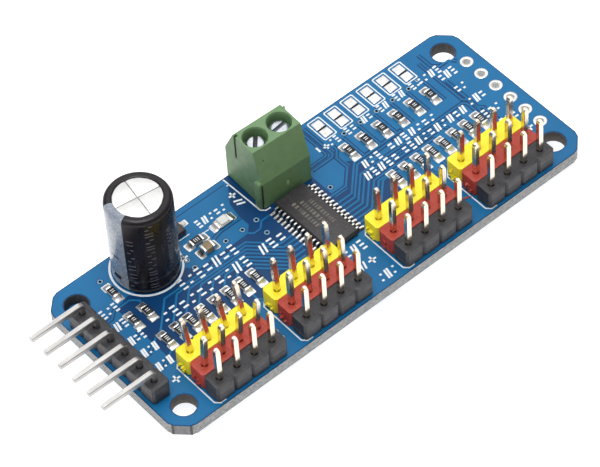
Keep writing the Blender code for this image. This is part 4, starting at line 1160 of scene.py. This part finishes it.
def underside():
    chance = random.Random(12)
    joints = Shape(SOLDER)
    for at in [(x, y) for x in PIN_XS for y in ROW_Y.values()] + [(CONTROL_X, y) for y in CONTROL_YS]:
        solder_cone(joints, at, 0.30, 0.92, 0.95, chance)
    for side in (-1, 1):
        leg = (BLOCK @ Vector((side * TERMINAL_PITCH / 2 * MM, LEG_LOCAL_Y * MM, 0))) / MM
        solder_cone(joints, (leg.x, leg.y), 0.42, 1.25, 0.95, chance)
    for side in (-1, 1):
        solder_cone(joints, (CAP_AT[0] + side * CAP_LEAD_PITCH / 2, CAP_AT[1]), 0.30, 0.95, 0.9, chance)
    joints.make("solder_joints", "tinned_copper", crease=60)

    copper = Shape(MASK)
    for y in (ROW_Y["red"], ROW_Y["black"]):
        copper.ribbon([(-25.4, y), (25.5, y)], 2.1, -POUR_Z, 0.005)
    for area in ([(-30.4, 2.2), (-24.0, 2.2), (-21.0, 5.0), (-4.8, 5.0), (-4.8, 12.1), (-29.2, 12.1),
                  (-30.4, 10.6)], [(5.0, 2.0), (27.4, 2.0), (27.4, 12.1), (5.0, 12.1)]):
        copper.prism(area, -POUR_Z, 0.005)
    copper.make("copper_areas_below", "solder_mask_blue", bevel=0.006, segments=1)
    tracks = Shape(MASK)
    for k, x in enumerate(PIN_XS):
        lane = -3.9 + 0.42 * (k % 8)
        side = -1 if k < 8 else 1                # towards the chip from the left or from the right
        end = side * (4.2 + 0.1 * (k % 8))
        tracks.ribbon([(x, ROW_Y["yellow"]), (x, lane - 0.5), (x + (0.5 if x < end else -0.5), lane),
                       (end, lane), (end - side * 0.5, lane + 0.5)], 0.22, -0.035, 0.004)
    for k, y in enumerate(CONTROL_YS):
        tracks.ribbon([(CONTROL_X, y), (-27.4 + 0.3 * k, y), (-26.2 + 0.3 * k, y + 0.9),
                       (EMPTY_X - 3.0, y + 0.9), (EMPTY_X - 2.0, y), (EMPTY_X, y)], 0.24, -0.035, 0.004)
    tracks.make("tracks_below", "solder_mask_blue", bevel=0.012, segments=1)
    marks = Shape(PRINT)
    for x in GROUP_X:
        at = (x, ROW_Y["red"])
        marks.frame_line(rectangle(5.3, 4.1, 0.5, at), rectangle(5.15, 3.95, 0.44, at), 0.0, -MARK_Z)
    marks.ring(CAP_AT, 4.1, 4.26, -MARK_Z, 0.0, 0, 72)
    marks.make("printed_lines_below", "solder_mask_blue")
    vias = Shape(SOLDER, HOLE_SHADE)
    for at in VIAS:
        vias.ring(at, 0.17, 0.34, -0.045, 0.004, 0, 20)
        # a dark disc of painted shade in the mouth of each via
        vias.lathe([(0.001, -0.02), (0.175, -0.02)], at, 20, 1)
    vias.make("vias_below", "tinned_copper")


# ---------- stage

def stage():
    """Pale floor that glows a little, as paper lit from below, and a sky that is brightest overhead."""
    bpy.ops.mesh.primitive_plane_add(size=6, location=(0, 0, cad_box[0].z))
    floor = bpy.context.object
    floor.name = "floor"
    paper = finish("floor_paper", (0.60, 0.60, 0.60), (0.59, 0.59, 0.59), 20, (0.8, 0.9), bump=0.0,
                   Emission_Color=(1, 1, 1, 1), Emission_Strength=0.84)
    floor.data.materials.append(paper)
    world = bpy.data.worlds.new("studio")
    world.use_nodes = True
    tree = world.node_tree
    place = node(tree, "ShaderNodeTexCoord")
    parts = tree.nodes.new("ShaderNodeSeparateXYZ")
    tree.links.new(place.outputs["Generated"], parts.inputs["Vector"])
    back = tree.nodes["Background"]
    back.inputs["Color"].default_value = (1, 1, 1, 1)
    tree.links.new(spread(tree, parts.outputs["Z"], 0.20, 0.62, 0.0, 0.9), back.inputs["Strength"])
    scene.world = world
    for name, place, size, power in (("overhead", (-0.06, 0.00, 0.85), 0.50, 4.2),
                                     ("back_right", (0.35, 0.45, 0.70), 0.90, 2.6),
                                     ("left", (-0.70, 0.10, 0.40), 0.40, 0.9)):
        light = bpy.data.lights.new(name, "AREA")
        light.energy, light.size = power, size
        made = bpy.data.objects.new(name, light)
        made.location = place
        made.rotation_euler = (-Vector(place)).to_track_quat("-Z", "Y").to_euler()
        scene.collection.objects.link(made)
    scene.view_settings.view_transform = "Standard"


def camera():
    data = bpy.data.cameras.new("camera")
    data.lens, data.sensor_width = 212.03, 36.0
    data.clip_start, data.clip_end = 0.01, 20.0
    made = bpy.data.objects.new("camera", data)
    azimuth, elevation, roll = math.radians(-37.65), math.radians(50.84), math.radians(-4.12)
    back = Vector((math.sin(azimuth) * math.cos(elevation), -math.cos(azimuth) * math.cos(elevation),
                   math.sin(elevation)))
    turn = (-back).to_track_quat("-Z", "Y").to_matrix().to_4x4() @ Matrix.Rotation(roll, 4, "Z")
    made.matrix_world = Matrix.Translation((-0.1585, -0.20184, 0.3149)) @ turn
    scene.collection.objects.link(made)
    scene.camera = made


def stray_bit():
    """A short curl of packing fibre that lies on the board between two groups."""
    shape = Shape(LEAF)
    path = [Vector((14.1 + 0.25 * k, -9.0 + 0.18 * math.sin(k * 0.9), TOP + 0.10 + 0.03 * math.sin(k * 1.7)))
            for k in range(6)]
    rings = []
    widths = (0.03, 0.11, 0.16, 0.13, 0.09, 0.02)
    for wide, (p, _, up) in zip(widths, framed(path, Vector((0, 1, 0)))):
        rings.append([tuple(p + Vector((0, a, 0)) + up * b) for a, b, _ in rectangle(wide, 0.035, 0.01)])
    shape.loops(rings)
    shape.make("fibre_bit", "solder_mask_blue")


def carried_over():
    """Finishes for the CAD nodes that stay."""
    looks = {"circuit_board": board_finish(), "terminal_clamp": BRASS, "terminal_contact": TIN,
             "capacitor_lead": TIN, "capacitor_bung": RUBBER, "capacitor_winding": TAN}
    for name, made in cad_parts.items():
        for start, material in looks.items():
            if name.startswith(start):
                made.data.materials.clear()
                made.data.materials.append(material)


top_faces()
vias_and_holes()
jumper_pads()
printing()
servo_headers()
servo_pins()
control_header()
terminal_housing()
terminal_screws()
capacitor()
resistors()
layered_capacitor()
lamp()
driver_chip()
transistor()
underside()
stray_bit()
carried_over()
stage()
camera()
